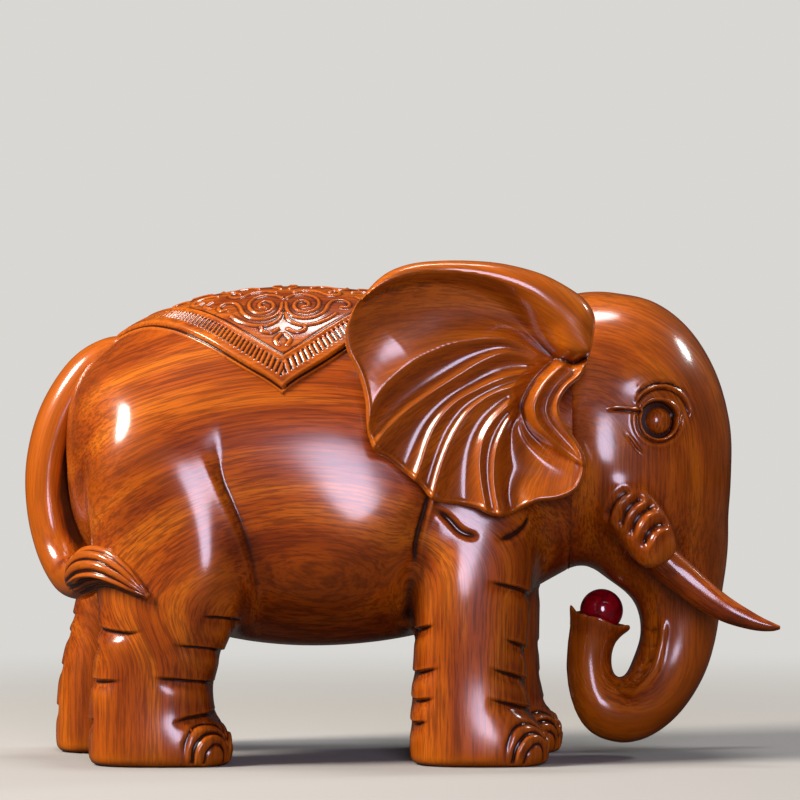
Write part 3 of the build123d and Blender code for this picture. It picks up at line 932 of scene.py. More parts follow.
def ear_relief(points, edge_gap):
    """How far the ear's outer face stands out from its dish, in mm."""
    roll_foot = curve_through(ROLL_FOOT, 4)
    strip_foot = curve_through(STRIP_FOOT, 4)
    crests = [curve_through(crest, 4) for crest in EAR_CRESTS]
    to_roll, to_strip = gap_to(roll_foot, points), gap_to(strip_foot, points)
    gaps = np.array([gap_to(crest, points) for crest in crests])
    first, second = np.sort(np.sqrt(gaps**2 + 0.25**2) - 0.25, axis=0)[:2]
    notch = NOTCH_SINKS * (1 - ramp(np.linalg.norm(points - EAR_NOTCH, axis=1), 2, 16))
    # fan: sharp crests with a hollow gouged between each pair
    hollow = 0.62 * 2 * first * second / np.maximum(first + second, 1e-6)
    fan = CREST_HEIGHT - 3.4 * np.tanh(hollow / 3.4) - notch
    # the open scoop at the lower front, steep beside the last crest and rising gently to the rim
    to_rim = gap_to(curve_through(EAR_SCOOP_RIM, 4), points)
    scoop = gaps[-1] / np.maximum(gaps[-1] + to_rim, 1e-6)
    fan_edge = np.vstack([crests[-1], [(27.8, 60), (60, 60), (60, 84), (50.9, 81.4)], strip_foot[::-1]])
    scooped = 2.1 - 4.0 * ramp(scoop, 0, 0.36) + 2.6 * ramp(scoop, 0.3, 1.0) ** 1.2
    fan = np.where(inside(fan_edge, points), scooped, fan)
    # the wide hollow between the roll and the first crest
    share = to_roll / np.maximum(to_roll + gaps[0], 1e-6)
    upper = EAR_FLOOR + (CREST_HEIGHT - notch - EAR_FLOOR) * share - 1.2 * np.sin(np.pi * share)
    above = inside(np.vstack([roll_foot[:-8], crests[0], [(-16, 90), (-20, 118)]]), points)
    melts = ramp(nearest(strip_foot, points)[1], 0.66, 0.94)
    to_foot = np.maximum(ramp(to_strip, 0.0, 4.0), melts)
    height = np.where(above, upper, fan * to_foot + EAR_FLOOR * (1 - to_foot))
    # the roll along the top, fattest at its front end
    roll_edge = np.vstack([roll_foot, [(60, 112), (60, 145), (-25, 145), (-25, 119)]])
    in_roll = inside(roll_edge, points)
    share = to_roll / np.maximum(to_roll + edge_gap, 1e-6)
    size = (4.9 + 4.3 * ramp(points[:, 0], 8, 44)) * (0.35 + 0.65 * ramp(points[:, 0], -17, -5))
    way_up = np.clip(share / ROLL_CROWN, 0, 1)
    way_down = np.clip((share - ROLL_CROWN) / (1 - ROLL_CROWN), 0, 1)
    fat = ramp(points[:, 0], 22, 44)
    rise = way_up**1.7 * (1 - fat) + np.sin(way_up * math.pi / 2) ** 1.2 * fat
    fall = np.sqrt(np.clip(1 - (way_down * 0.93) ** 2, 0, 1))
    roll = EAR_FLOOR + size * np.where(share < ROLL_CROWN, rise, fall)
    spine_gap = gap_to(curve_through(ROLL_SPINE, 4), points)
    roll += 0.9 * bell(spine_gap, 1.6) * fat
    height = np.where(in_roll, roll, height)
    # the folded strip down the front edge
    strip_edge = np.vstack([strip_foot, [(60, 80), (60, 112)], ROLL_END[:0:-1]])
    in_strip = inside(strip_edge, points) & ~in_roll
    share = to_strip / np.maximum(to_strip + edge_gap, 1e-6)
    size = 3.0 + 3.2 * ramp(points[:, 1], 76, 98)
    climb = np.sin(np.clip(share / 0.34, 0, 1) * math.pi / 2)
    dip = 0.42 * np.sin(np.clip((share - 0.34) / 0.6, 0, 1) * math.pi) ** 1.5
    strip = EAR_FLOOR + 2.7 * melts + size * (1 - 0.75 * melts) * (climb - dip)
    end = ramp(gap_to(ROLL_END, points), 0.0, 1.6)
    height = np.where(in_strip, strip * end + EAR_FLOOR * (1 - end), height)
    # a thin bead all round the rim
    height += 0.35 * bell(edge_gap - 1.0, 0.5) * ~in_roll
    return height


def ear_back(flat):
    """How far out the ear's plain dished back lies at places given by x and z."""
    away = (flat[:, 0] - EAR_CENTRE[0]) ** 2 + (flat[:, 1] - EAR_CENTRE[1]) ** 2
    return EAR_BACK_Y + EAR_DISH - np.sqrt(EAR_DISH**2 - away)


def ear_front(flat, edge_gap):
    relief = ear_relief(flat, edge_gap)
    return ear_back(flat) + EAR_THICKNESS + relief - rounded_edge(edge_gap, 1.3)


def ear_rear(flat, edge_gap):
    """The back, with the thick root that reaches in to the neck."""
    root = np.hypot(*((flat - EAR_ROOT) / EAR_ROOT_HALF).T)
    inward = EAR_ROOT_DEPTH * (1 - ramp(root, 0.6, 1.15)) * ramp(edge_gap, 0.0, 1.3)
    return ear_back(flat) + rounded_edge(edge_gap, 0.9) - inward


EAR_SANDED = [  # where the outer face is evened: centre and reach in x and z, share, squareness
    ((45, 121), (9, 8), 1.0, 1),
    ((38, 80), (6, 7), 0.9, 2),
    ((-15, 118), (5, 7), 0.9, 2),
]
EAR_SANDED_BEYOND, EAR_FLATTENED_BEYOND = 36.0, 48.0  # distances out from the middle plane
EAR_SIDES = 560


def carved_ear(name):
    """The right ear as one closed sheet: out over the carved face, round the rim and back behind."""
    loop = curve_through(EAR_OUTLINE + EAR_OUTLINE[:1], 14)
    length = np.concatenate([[0], np.cumsum(np.linalg.norm(np.diff(loop, axis=0), axis=1))])
    steps = np.linspace(0, 1, EAR_SIDES + 1) * length[-1]
    ring = np.stack([np.interp(steps, length, loop[:, k]) for k in (0, 1)], 1)
    outward = np.concatenate([np.linspace(0.01, 0.93, 66), np.linspace(0.94, 1.0, 10)])
    inward = outward[::-1][np.r_[0:10, 10:75:2]]
    faces = []
    for shares, rim, stands in ((outward, -1, ear_front), (inward, 0, ear_rear)):
        flat = (EAR_MIDDLE + shares[:, None, None] * (ring - EAR_MIDDLE)).reshape(-1, 2)
        edge_gap = gap_to(loop[::3], flat).reshape(len(shares), -1)
        edge_gap[rim] = 0
        out = stands(flat, edge_gap.ravel())
        faces.append(np.stack([flat[:, 0], -out, flat[:, 1]], 1).reshape(len(shares), -1, 3))
    front, back = faces
    wall = [front[-1] + (back[0] - front[-1]) * share for share in (0.33, 0.67)]
    ear = sheet(name, np.concatenate([front, wall, back]), closed=True)
    points = places(ear)
    soft = np.zeros(len(points))
    for (x, z), (reach_x, reach_z), share, square in EAR_SANDED:
        away = ((points[:, 0] - x) / reach_x) ** 2 + ((points[:, 2] - z) / reach_z) ** 2
        soft += share * np.exp(-(away**square))
    soft = np.where(points[:, 1] < -EAR_SANDED_BEYOND, soft, 0)
    points = eased(points, neighbours(ear), 0.6 * soft, 40)
    points[:, 1] += 0.07 * np.maximum(-EAR_FLATTENED_BEYOND - points[:, 1], 0)
    put(ear, points)
    return ear


def mirrored(obj, name):
    """A copy on the other side of the body, its faces turned outward again."""
    twin = copy_of(obj, name)
    put(twin, places(twin) * (1, -1, 1))
    with editing(twin):
        bpy.ops.mesh.flip_normals()
    return twin


ear_right = carved_ear("ear_right_carved")
ear_left = mirrored(ear_right, "ear_left_carved")

# ------------------------------------------------------------------------ saddle cloth

CLOTH_MIDDLE_X, CLOTH_HALF_LENGTH, CLOTH_HALF_WIDTH, CLOTH_STANDS = -31.4, 47.8, 37.2, 1.7
CLOTH_EDGE_SHARES, CLOTH_EDGE_BOWS = (0, 0.25, 0.40, 0.60, 0.80, 1), (0, 2.8, 4.6, 5.4, 4.0, 0)
REAR_PITCH, FORE_PITCH = 1.5, 1.75  # of the strokes in its border
LEDGE = 1.1  # width of the thin step the cloth lies on, seen all round its edge
SCROLLS = [  # a quarter of the pattern, as lines of (ahead of the middle, down the flank)
    [(0.6, 16.2), (2.6, 14.4), (5.4, 14.0), (8.2, 15.4), (9.6, 18.2), (9.2, 21.4), (7.0, 23.6),
     (4.4, 23.4), (2.9, 21.4), (3.2, 19.0), (5.0, 17.8), (6.6, 18.8), (6.6, 20.6), (5.2, 21.2)],
    [(0.5, 19.0), (0.9, 22.6), (2.6, 25.4), (5.6, 26.4), (8.8, 25.4), (11.2, 22.8), (12.2, 19.4),
     (13.6, 17.0), (16.2, 16.4), (18.0, 18.0), (17.4, 20.0), (15.8, 20.2)],
    [(0.5, 24.2), (1.6, 27.2), (4.6, 29.0), (8.6, 28.4), (12.2, 26.0), (14.4, 23.4)],
    [(2.4, 12.0), (5.6, 10.6), (9.2, 11.4), (12.0, 13.6), (14.6, 12.8), (15.2, 10.4), (13.4, 9.4),
     (12.4, 10.6)],
    [(1.4, 30.6), (3.4, 31.8), (5.6, 31.0), (6.0, 29.8)],
    [(0.6, 32.4), (2.0, 34.4), (1.2, 36.2)],
    [(18.6, 9.4), (21.4, 8.0), (24.4, 9.0), (25.6, 11.4), (24.0, 13.2), (22.4, 12.2)],
    [(19.8, 13.2), (22.0, 15.4), (20.6, 17.2)],
    [(26.8, 6.0), (29.2, 4.4), (31.4, 5.6), (30.6, 7.4)],
    [(7.2, 7.2), (9.6, 5.2), (12.4, 5.8), (15.0, 7.4), (17.4, 6.2), (17.2, 4.2)],
    [(1.2, 8.4), (3.0, 6.4), (3.0, 3.6), (1.4, 2.0)],
    [(20.4, 4.2), (23.0, 2.4), (25.6, 2.2)],
]  # fmt: skip


def torso_section(x):
    rows = curve_through(TORSO, 5)
    low, high, half = (np.interp(x, rows[:, 0], rows[:, k]) for k in (1, 2, 3))
    return (low + high) / 2, (high - low) / 2, half


def down_flank(x, y):
    """Length over the back from the spine to the place above (x, y)."""
    _, tall, half = torso_section(x)
    turn = np.arcsin(np.clip(y / half, -1, 1))
    steps = turn[..., None] * np.linspace(0, 1, 41)
    speed = np.sqrt((half[..., None] * np.cos(steps)) ** 2 + (tall[..., None] * np.sin(steps)) ** 2)
    return turn * (speed[..., :-1] + speed[..., 1:]).mean(-1) / 2


def over_back(x, length):
    """The turn round the barrel at which a length over the back is reached."""
    _, tall, half = torso_section(x)
    turn = length / half
    for _ in range(12):
        reached = down_flank(x, half * np.sin(np.clip(turn, -1.5, 1.5)))
        turn = np.clip(turn + (length - reached) / (0.5 * (half + tall)), -1.5, 1.5)
    return turn


def cloth_edge(fore, side, shares):
    """One of the four edges from the spine down to the flank, as x and length over the back."""
    spine = np.array([CLOTH_MIDDLE_X + fore * (CLOTH_HALF_LENGTH + LEDGE), 0])
    flank = np.array([CLOTH_MIDDLE_X, side * (CLOTH_HALF_WIDTH + 0.6 * LEDGE)])
    out = np.array([fore * CLOTH_HALF_WIDTH, side * CLOTH_HALF_LENGTH])
    out = out / np.linalg.norm(out)
    knots = curve_through(list(zip(CLOTH_EDGE_SHARES, CLOTH_EDGE_BOWS)), 8)
    bow = np.interp(shares, knots[:, 0], knots[:, 1])
    plan = spine + shares[:, None] * (flank - spine) + bow[:, None] * out
    return np.stack([plan[:, 0], down_flank(plan[:, 0], plan[:, 1])], 1)


def cloth_relief(flat, edges):
    """The cloth's thickness at each point, with its border strokes and scrollwork."""
    best = np.full(len(flat), 1e9)
    stroke = np.zeros(len(flat))
    for pitch, edge in edges:
        gap, share, _, _ = nearest(edge, flat)
        length = np.linalg.norm(np.diff(edge, axis=0), axis=1).sum()
        bars = np.cos(2 * math.pi * (share * length + 0.28 * gap) / pitch)
        closer = gap < best
        best[closer] = gap[closer]
        stroke[closer] = bars[closer]
    gap = best - LEDGE
    height = 0.5 * ramp(best, 0.0, 0.3) - 0.4 * ramp(best, 0.55, 0.8)
    height = np.where(gap > 0, CLOTH_STANDS - rounded_edge(gap, 0.75), height)
    band = ramp(gap, 2.0, 2.5) * (1 - ramp(gap, 5.6, 6.1))
    height += band * (0.22 * np.clip(1.3 * stroke, -1, 1) - 0.1)
    height += 0.3 * bell(gap - 6.9, 0.36) - 0.3 * bell(gap - 7.7, 0.4)
    height -= 0.3 * ramp(gap, 7.6, 8.0)
    raised = np.zeros(len(flat))
    for scroll, ahead, side in itertools.product(SCROLLS, (-1, 1), (-1, 1)):
        path = curve_through(scroll, 5) * (ahead, side) + (CLOTH_MIDDLE_X, 0)
        low, high = path.min(0) - 1.6, path.max(0) + 1.6
        chosen = np.nonzero(((flat > low) & (flat < high)).all(1))[0]
        cord = 0.46 * np.exp(-((nearest(path, flat[chosen])[0] / 0.44) ** 4))
        raised[chosen] = np.maximum(raised[chosen], cord)
    return height + raised * ramp(gap, 8.0, 8.8)


def carved_cloth(skin):
    """A diamond filled in between its four bowed edges, laid on the back and closed underneath."""
    border = 0.032
    shares = np.concatenate([
        np.linspace(0, border, 11)[:-1],
        np.linspace(border, 1 - border, 250),
        np.linspace(1 - border, 1, 11)[1:],
    ])  # fmt: skip
    rear_near, rear_far = cloth_edge(-1, -1, shares), cloth_edge(-1, 1, shares)
    fore_near, fore_far = cloth_edge(1, -1, shares), cloth_edge(1, 1, shares)
    p, q = shares[None, :, None], shares[:, None, None]
    low, high, left, right = rear_near, fore_far[::-1], rear_far, fore_near[::-1]
    flat = (1 - q) * low[None] + q * high[None] + (1 - p) * left[:, None] + p * right[:, None]
    corners = (1 - p) * (1 - q) * low[0] + p * q * high[-1]
    flat -= corners + p * (1 - q) * low[-1] + (1 - p) * q * left[-1]
    rows, columns = flat.shape[:2]
    flat = flat.reshape(-1, 2)
    edges = [(REAR_PITCH, rear_near[::4]), (REAR_PITCH, rear_far[::4])]
    edges += [(FORE_PITCH, fore_near[::4]), (FORE_PITCH, fore_far[::4])]
    height = cloth_relief(flat, edges)
    turn = over_back(flat[:, 0], flat[:, 1])
    middle, tall, half = torso_section(flat[:, 0])
    way = np.stack([np.zeros(len(flat)), np.sin(turn) / half, np.cos(turn) / tall], 1)
    way /= np.linalg.norm(way, axis=1)[:, None]
    ground = np.stack([flat[:, 0], half * np.sin(turn), middle + tall * np.cos(turn)], 1)
    points = np.empty_like(ground)
    for i in range(len(ground)):
        met = skin.tree.ray_cast(Vector(ground[i] - way[i] * 6), Vector(way[i]), 12)[0]
        points[i] = ground[i] if met is None else met
    points = points.reshape(rows, columns, 3)
    for _ in range(4):
        rows_beside = points[2:, 1:-1] + points[:-2, 1:-1]
        points[1:-1, 1:-1] = 0.25 * (rows_beside + points[1:-1, 2:] + points[1:-1, :-2])
    top = points + way.reshape(points.shape) * height.reshape(rows, columns, 1)
    cloth = sheet("saddle_cloth_carved", top)
    with editing(cloth, select="DESELECT"):
        bpy.ops.mesh.select_mode(type="EDGE")
        bpy.ops.mesh.select_non_manifold()
        bpy.ops.mesh.extrude_region_move()
        bpy.ops.transform.resize(value=(0.97, 0.97, 0.97))
        bpy.ops.mesh.extrude_region_move()
        bpy.ops.mesh.merge(type="CENTER")
        bpy.ops.mesh.select_mode(type="VERT")
        turn_outward()
    return cloth


cloth = carved_cloth(skin)
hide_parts("saddle_cloth")

# ------------------------------------------------------------------------ tail, tusks, eyes and bead

TAIL = [  # x, y, z, radius
    (-74.0, 0.0, 113.0, 3.6), (-79.6, 0.0, 112.2, 5.2), (-86.8, 0.0, 106.4, 6.5),
    (-93.6, 0.0, 95.0, 6.9), (-97.2, 0.0, 82.0, 6.7), (-97.5, -0.6, 69.6, 6.2),
    (-95.2, -3.0, 58.8, 5.8), (-91.4, -9.5, 51.4, 5.3), (-87.8, -18.0, 49.6, 4.9),
    (-85.6, -24.0, 50.2, 4.5), (-83.6, -28.6, 51.4, 3.0),
]  # fmt: skip
TUFT = [
    (-88.4, -22.6, 49.6, 4.2), (-86.0, -26.6, 50.8, 6.6), (-82.6, -31.2, 52.4, 7.9),
    (-78.6, -36.0, 52.6, 7.2), (-74.4, -39.8, 50.8, 5.2), (-70.6, -42.2, 48.4, 2.9),
    (-67.2, -43.6, 46.4, 0.6),
]  # fmt: skip
TUFT_SIDES, TUFT_LOCKS = 144, 12
TUSK_UP = np.array([0.55, 0.25, 0.8])  # the upper side of the left tusk; the right one mirrors it
TUSK = [
    (63.0, 25.4, 61.6, 4.4), (68.6, 26.2, 59.0, 4.9), (73.2, 26.7, 54.6, 4.7), (76.4, 27.2, 51.6, 4.3),
    (80.8, 28.0, 47.9, 3.9), (85.6, 29.2, 44.3, 3.5), (90.6, 30.6, 41.4, 3.0), (97.0, 32.0, 38.9, 2.1),
    (101.4, 32.8, 37.9, 1.3), (103.9, 33.2, 37.7, 0.5),
]  # fmt: skip
EYE_PROFILE = [  # radius and lift, from under the rim to the top of the dome
    (3.6, -1.8), (3.7, -0.6), (3.6, 0.3), (3.3, 1.0), (2.8, 1.6),
    (2.1, 2.05), (1.3, 2.35), (0.6, 2.46), (0.12, 2.5),
]  # fmt: skip
EYE_STANDS = 0.3
PEGS = [(44.4, 108.6), (41.0, 104.2)]  # x and z, inside each ear's root
PEG_Y, PEG_LENGTH, PEG_RADIUS = 29.8, 7.0, 1.1


def carved_tail():
    """A round rope of a tail with a ridge down it, ending in a tuft of combed hair."""
    rings = path_rings(TAIL, steps=8, sides=48)
    for i, ring in enumerate(rings):
        centre = ring.mean(0)
        away = ring - centre
        share = i / (len(rings) - 1)
        radius = np.linalg.norm(away, axis=1).max()
        inner = np.clip(away @ np.array([1.0, 0.0, -0.25]) / radius, 0, 1)
        spread = 0.42 * math.sin(math.pi * min(1, max(0, (share - 0.12) / 0.66))) ** 0.7
        spread += 0.45 * math.exp(-(((share - 0.56) / 0.1) ** 2))
        away[:, 0] += spread * inner * np.abs(away[:, 0])
        away[:, 1] *= 1 - 0.55 * min(1, spread / 0.42) * ramp(inner, 0.05, 1.0)
        rings[i] = centre + away
    tail = drawn_out("tail_carved", rings)
    finish_with(tail, "SUBSURF", levels=1, render_levels=1)
    rings = path_rings(TUFT, steps=9, flat=0.8, sides=TUFT_SIDES)
    turns = np.arange(TUFT_SIDES) * 2 * math.pi / TUFT_SIDES
    for i, ring in enumerate(rings):
        share = i / (len(rings) - 1)
        comb = np.abs(np.sin(TUFT_LOCKS / 2 * turns + 1.3 + 2.0 * share)) ** 0.6
        depth = 0.2 * (1 - share) * 6
        if share < 0.87:
            depth = 0.2 * math.sin(math.pi * min(share * 1.15, 1.0)) ** 0.5
        centre = ring.mean(0)
        away = ring - centre
        reach = np.linalg.norm(away, axis=1)
        under = -away[:, 2] / reach + 0.25 * away[:, 1] / reach.max()
        hollow = 0.0
        if share < 0.95:
            hollow = 0.42 * ramp(under, 0.0, 0.3) * math.sin(math.pi * min(1, share * 1.05)) ** 0.5
        rings[i] = centre + away * ((1 - depth * (1 - comb)) * (1 - hollow))[:, None]
    tuft = drawn_out("tuft", rings)
    finish_with(tuft, "SUBSURF", levels=1, render_levels=1)
    return joined("tail_carved", [tail, tuft])


def carved_tusk(side, name):
    """Round at the root, with a crisp ridge along its upper side towards the tip."""
    rings = path_rings(TUSK, side, steps=8, sides=40)
    for i, ring in enumerate(rings):
        centre = ring.mean(0)
        away = ring - centre
        radius = np.linalg.norm(away, axis=1).max()
        up = away @ (TUSK_UP * (1, side, 1)) / radius
        share = i / len(rings)
        ridge = ramp(up, 0.6, 1.0) * 0.2 * ramp(share, 0.15, 0.4) * (1 - ramp(share, 0.7, 0.95))
        low = ramp(away @ np.array([-0.25, side * 0.8, -0.55]) / radius, 0.3, 1.0) * 0.14
        rings[i] = centre + away * ((1 + ridge) * (1 - low))[:, None]
    tusk = drawn_out(name, rings)
    return finish_with(tusk, "SUBSURF", levels=1, render_levels=1)


def carved_eye(side, name):
    """A domed eyeball let into its socket."""
    centre = skin.hit((EYE_X, 0, EYE_Z), (0, side, 0))
    out = np.array([0.35, side * 0.93, 0.05])
    out /= np.linalg.norm(out)
    u = np.cross(out, [0, 0, 1.0])
    u /= np.linalg.norm(u)
    v = np.cross(u, out)
    rings = [oval(centre + out * (lift + EYE_STANDS), u * r, v * r, 40) for r, lift in EYE_PROFILE]
    eye = drawn_out(name, rings)
    return finish_with(eye, "SUBSURF", levels=2, render_levels=2)


def polished_bead():
    """As large as the bead's own node, and in its place."""
    low, high = (np.array(corner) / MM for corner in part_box("bead"))
    centre, radius = (low + high) / 2, (high[2] - low[2]) / 2
    make = bpy.ops.mesh.primitive_ico_sphere_add
    bead = primitive(make, "bead_polished", subdivisions=5, radius=radius, location=centre)
    bpy.ops.object.transform_apply(location=True, rotation=True, scale=True)
    return bead


def ear_pegs():
    """Two short pegs through the root of each ear, ends eased with a chamfer."""
    pegs = []
    for side, (x, z) in itertools.product((-1, 1), PEGS):
        peg = primitive(
            bpy.ops.mesh.primitive_cylinder_add, "peg", vertices=32, radius=PEG_RADIUS,
            depth=PEG_LENGTH, location=(x, side * PEG_Y, z), rotation=(math.radians(90), 0, 0),
        )  # fmt: skip
        bpy.ops.object.transform_apply(location=True, rotation=True, scale=True)
        pegs.append(finish_with(peg, "BEVEL", width=0.25, segments=2, angle_limit=math.radians(60)))
    return joined("ear_pegs_turned", pegs)


tail = carved_tail()
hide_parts("tail")
pegs = ear_pegs()
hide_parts("ear_dowels")
tusks = {side: carved_tusk(sign, "tusk_" + side + "_carved") for side, sign in SIDES}
eyes = {side: carved_eye(sign, "eye_" + side + "_carved") for side, sign in SIDES}
for side, _ in SIDES:
    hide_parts("tusk_" + side)
    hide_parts("eye_" + side)
bead = polished_bead()
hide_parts("bead")
# the left tusk dips a little at its tip, as two tusks carved by hand are never quite a pair
points = places(tusks["left"])
points[:, 2] -= 0.8 * ramp(points[:, 0], 84, 100)
put(tusks["left"], points)

# ------------------------------------------------------------------------ neck seam


def cut_across(obj, x, keep_ahead):
    """Saws a piece through at x and closes the cut."""
    with editing(obj):
        bpy.ops.mesh.bisect(
            plane_co=(x, 0, 0), plane_no=(1, 0, 0), use_fill=True,
            clear_inner=keep_ahead, clear_outer=not keep_ahead,
        )  # fmt: skip


def loose_part_at(obj, place):
    """Keeps only the connected part nearest a place."""
    points = places(obj)
    start = int(np.linalg.norm(points - place, axis=1).argmin())
    obj.data.vertices.foreach_set("select", np.arange(len(points)) == start)
    with editing(obj, select=None):
        bpy.ops.mesh.select_mode(type="VERT")
        bpy.ops.mesh.select_linked()
        bpy.ops.mesh.select_all(action="INVERT")
        bpy.ops.mesh.delete(type="VERT")


def lighten(obj, most):
    """Merges points where a piece is plain until it has no more than the given triangles."""
    count = sum(len(face.vertices) - 2 for face in obj.data.polygons)
    if count > most:
        finish_with(obj, "DECIMATE", ratio=most / count)


# the glued seam shows as a hair line round the neck
skin.depth = -0.16 * bell(skin.points[:, 0] - SEAM_X, 0.5) * (skin.points[:, 2] > THROAT_Z)
skin.apply()
# painted shade in the hollows and cuts of the body and head, with staining
stain_and_shade(block, 8)
body = block
body.name = "body_block_carved"
head = copy_of(block, "head_block_carved")
cut_across(body, SEAM_X, keep_ahead=False)
loose_part_at(body, np.array([-90.0, 0.0, 80.0]))
cut_across(head, SEAM_X - 1.0, keep_ahead=True)
loose_part_at(head, np.array([92.0, 0.0, 80.0]))
points = places(head)
points[:, 0] = np.where(points[:, 2] > THROAT_Z, np.maximum(points[:, 0], SEAM_X), points[:, 0])
put(head, points)
for obj in (body, head):
    lighten(obj, MOST_TRIANGLES)
    points = places(obj)
    points[:, 2] = np.maximum(points[:, 2], 0)
    put(obj, points)

# ------------------------------------------------------------------------ grain of each piece, its staining, and painted shade and light


BARREL_X, BARREL_Z = -25, 25  # what the grain of the body rings round
CROWN_X, CROWN_Z = 50, 86  # what it bends round over the head
CURL_X, CURL_Z, CURL_RADIUS = 64, 28, 14  # what it bends round in the trunk's curl
ACROSS_Y = 0.4  # how much less it changes across the elephant than along its sides


def body_grain(p):
    """Rings round the rump and belly that straighten down the legs."""
    x, y, z = p.T
    dx, dz = (x - BARREL_X) / 1.25, np.maximum(z - BARREL_Z, 0)
    across = np.hypot(dx, dz)
    along = np.arctan2(dz, dx) * 60
    hind = (1 - ramp(z, 26, 54)) * (1 - ramp(x, -48, -38))
    fore = (1 - ramp(z, 42, 72)) * ramp(x, -4, 8)
    across = across + hind * (-x - 21 - across) + fore * (x + 26 - across)
    along = along + hind * (198 - z - along) + fore * (z - 14.6 - along)
    belly = (1 - ramp(z, 30, 60)) * ramp(x, -46, -36) * (1 - ramp(x, -4, 4))
    across = across + belly * (z - across)
    along = along + belly * (40 - x - along)
    return np.stack([across, y * ACROSS_Y, along], 1)


def head_grain(p):
    """Over the crown, straight down the trunk and round its curl."""
    x, y, z = p.T
    crown = z > CROWN_Z
    dx, dz = x - CROWN_X, z - CROWN_Z
    across = np.where(crown, np.hypot(dx, dz), dx)
    along = np.where(crown, CROWN_Z + 40 * np.arctan2(dz, dx), z)
    curl = (z < CURL_Z) & (x > 44)
    dx, dz = x - CURL_X, z - CURL_Z
    across = np.where(curl, np.hypot(dx, dz) + CURL_RADIUS, across)
    along = np.where(curl, CURL_Z + 20 * np.arctan2(dz, dx), along)
    tip = (z >= CURL_Z) & (x < CURL_X) & (z < 45)
    across = np.where(tip, CURL_RADIUS - dx, across)
    along = np.where(tip, CURL_Z - math.pi * 20 - dz, along)
    return np.stack([across, y * ACROSS_Y, along], 1)


def ear_grain(p):
    """Spreads from the root of the folds and bends down with them."""
    dx, dz = p[:, 0] - EAR_NOTCH[0] - 17, p[:, 2] - EAR_NOTCH[1] + 5
    reach = np.hypot(dx, dz)
    turn = np.arctan2(dz, -dx) + 0.008 * reach
    return np.stack([turn * 48, p[:, 1] * ACROSS_Y, reach], 1)


def path_grain(p, stations, side=1.0):
    """Along a tusk or the tail."""
    rows = curve_through(stations, 4)[:, :3] * (1, side, 1)
    _, share, foot, heading = nearest(rows, p)
    away = p - foot
    across = away[:, 2] * heading[:, 0] - away[:, 0] * heading[:, 2]
    return np.stack([across, away[:, 1], share * 90], 1)


for obj, grain in (
    (body, body_grain(places(body))),
    (head, head_grain(places(head))),
    (ear_right, ear_grain(places(ear_right))),
    (ear_left, ear_grain(places(ear_left))),
    (cloth, places(cloth)[:, [2, 1, 0]]),
    (tail, path_grain(places(tail), TAIL[:-1] + TUFT[3:])),
    (tusks["right"], path_grain(places(tusks["right"]), TUSK, -1)),
    (tusks["left"], path_grain(places(tusks["left"]), TUSK, 1)),
    (eyes["right"], places(eyes["right"])),
    (eyes["left"], places(eyes["left"])),
):
    note(obj, "grain", grain, "FLOAT_VECTOR")

# painted shade under the tuft, on the inner side of the tail and on the tusks' lower half, where shadow
# falls
shade_under_tuft = ramp(-facing(tail)[:, 2], 0.1, 0.6) * ramp(-places(tail)[:, 1], 24, 28)
shade_on_tail_side = ramp(facing(tail)[:, 0], 0.1, 0.7) * ramp(places(tail)[:, 2], 54, 66)
note(tail, "carved", 1.5 * shade_under_tuft + 0.5 * shade_on_tail_side)
for side, sign in SIDES:
    above = facing(tusks[side]) @ (TUSK_UP * (1, sign, 1))
    note(tusks[side], "carved", 0.55 * (1 - ramp(above, 0.15, 0.6)))
# painted light: the head is made paler than the body, as if more strongly lit
note(head, "hollow", recall(head, "hollow") - 0.14)
# painted light: the ears are made paler all over, as if more strongly lit, besides the painted shade in
# their hollows
for ear in (ear_right, ear_left):
    stain_and_shade(ear, rounds=14, gain=0.6, painted_light=0.4)
# painted shade in the hollows of the cloth, the tail, the tusks and the eyes, with staining
stain_and_shade(cloth, rounds=10, gain=1.9)
stain_and_shade(tail, rounds=24, gain=3.2)
for obj in (*tusks.values(), *eyes.values()):
    stain_and_shade(obj, rounds=6)

# ------------------------------------------------------------------------ materials


def colour(code):
    """An sRGB hex colour as linear values."""
    parts = [int(code[i : i + 2], 16) / 255 for i in (1, 3, 5)]
    return [c / 12.92 if c <= 0.04045 else ((c + 0.055) / 1.055) ** 2.4 for c in parts] + [1.0]


def add(tree, kind, inputs=None, stops=(), **settings):
    """Adds a node with its settings, its colour stops and its inputs, as links or plain values."""
    node = tree.nodes.new("ShaderNode" + kind)
    for name, value in settings.items():
        if hasattr(node, name):
            setattr(node, name, value)
        else:
            node.inputs[name.replace("_", " ")].default_value = value
    for name, value in (inputs or {}).items():
        if isinstance(value, bpy.types.NodeSocket):
            tree.links.new(value, node.inputs[name])
        else:
            node.inputs[name].default_value = value
    elements = node.color_ramp.elements if stops else ()
    while len(elements) < len(stops):
        elements.new(0.5)
    for element, (place, code) in zip(elements, stops):
        element.position = place
        element.color = colour(code)
    return node


MIX_FACTOR, MIX_A, MIX_B, MIX_RESULT = 0, 6, 7, 2  # sockets of a Mix node that mixes colours


def new_material(name):
    material = bpy.data.materials.new(name)
    material.use_nodes = True
    material.node_tree.nodes.clear()
    return material, material.node_tree


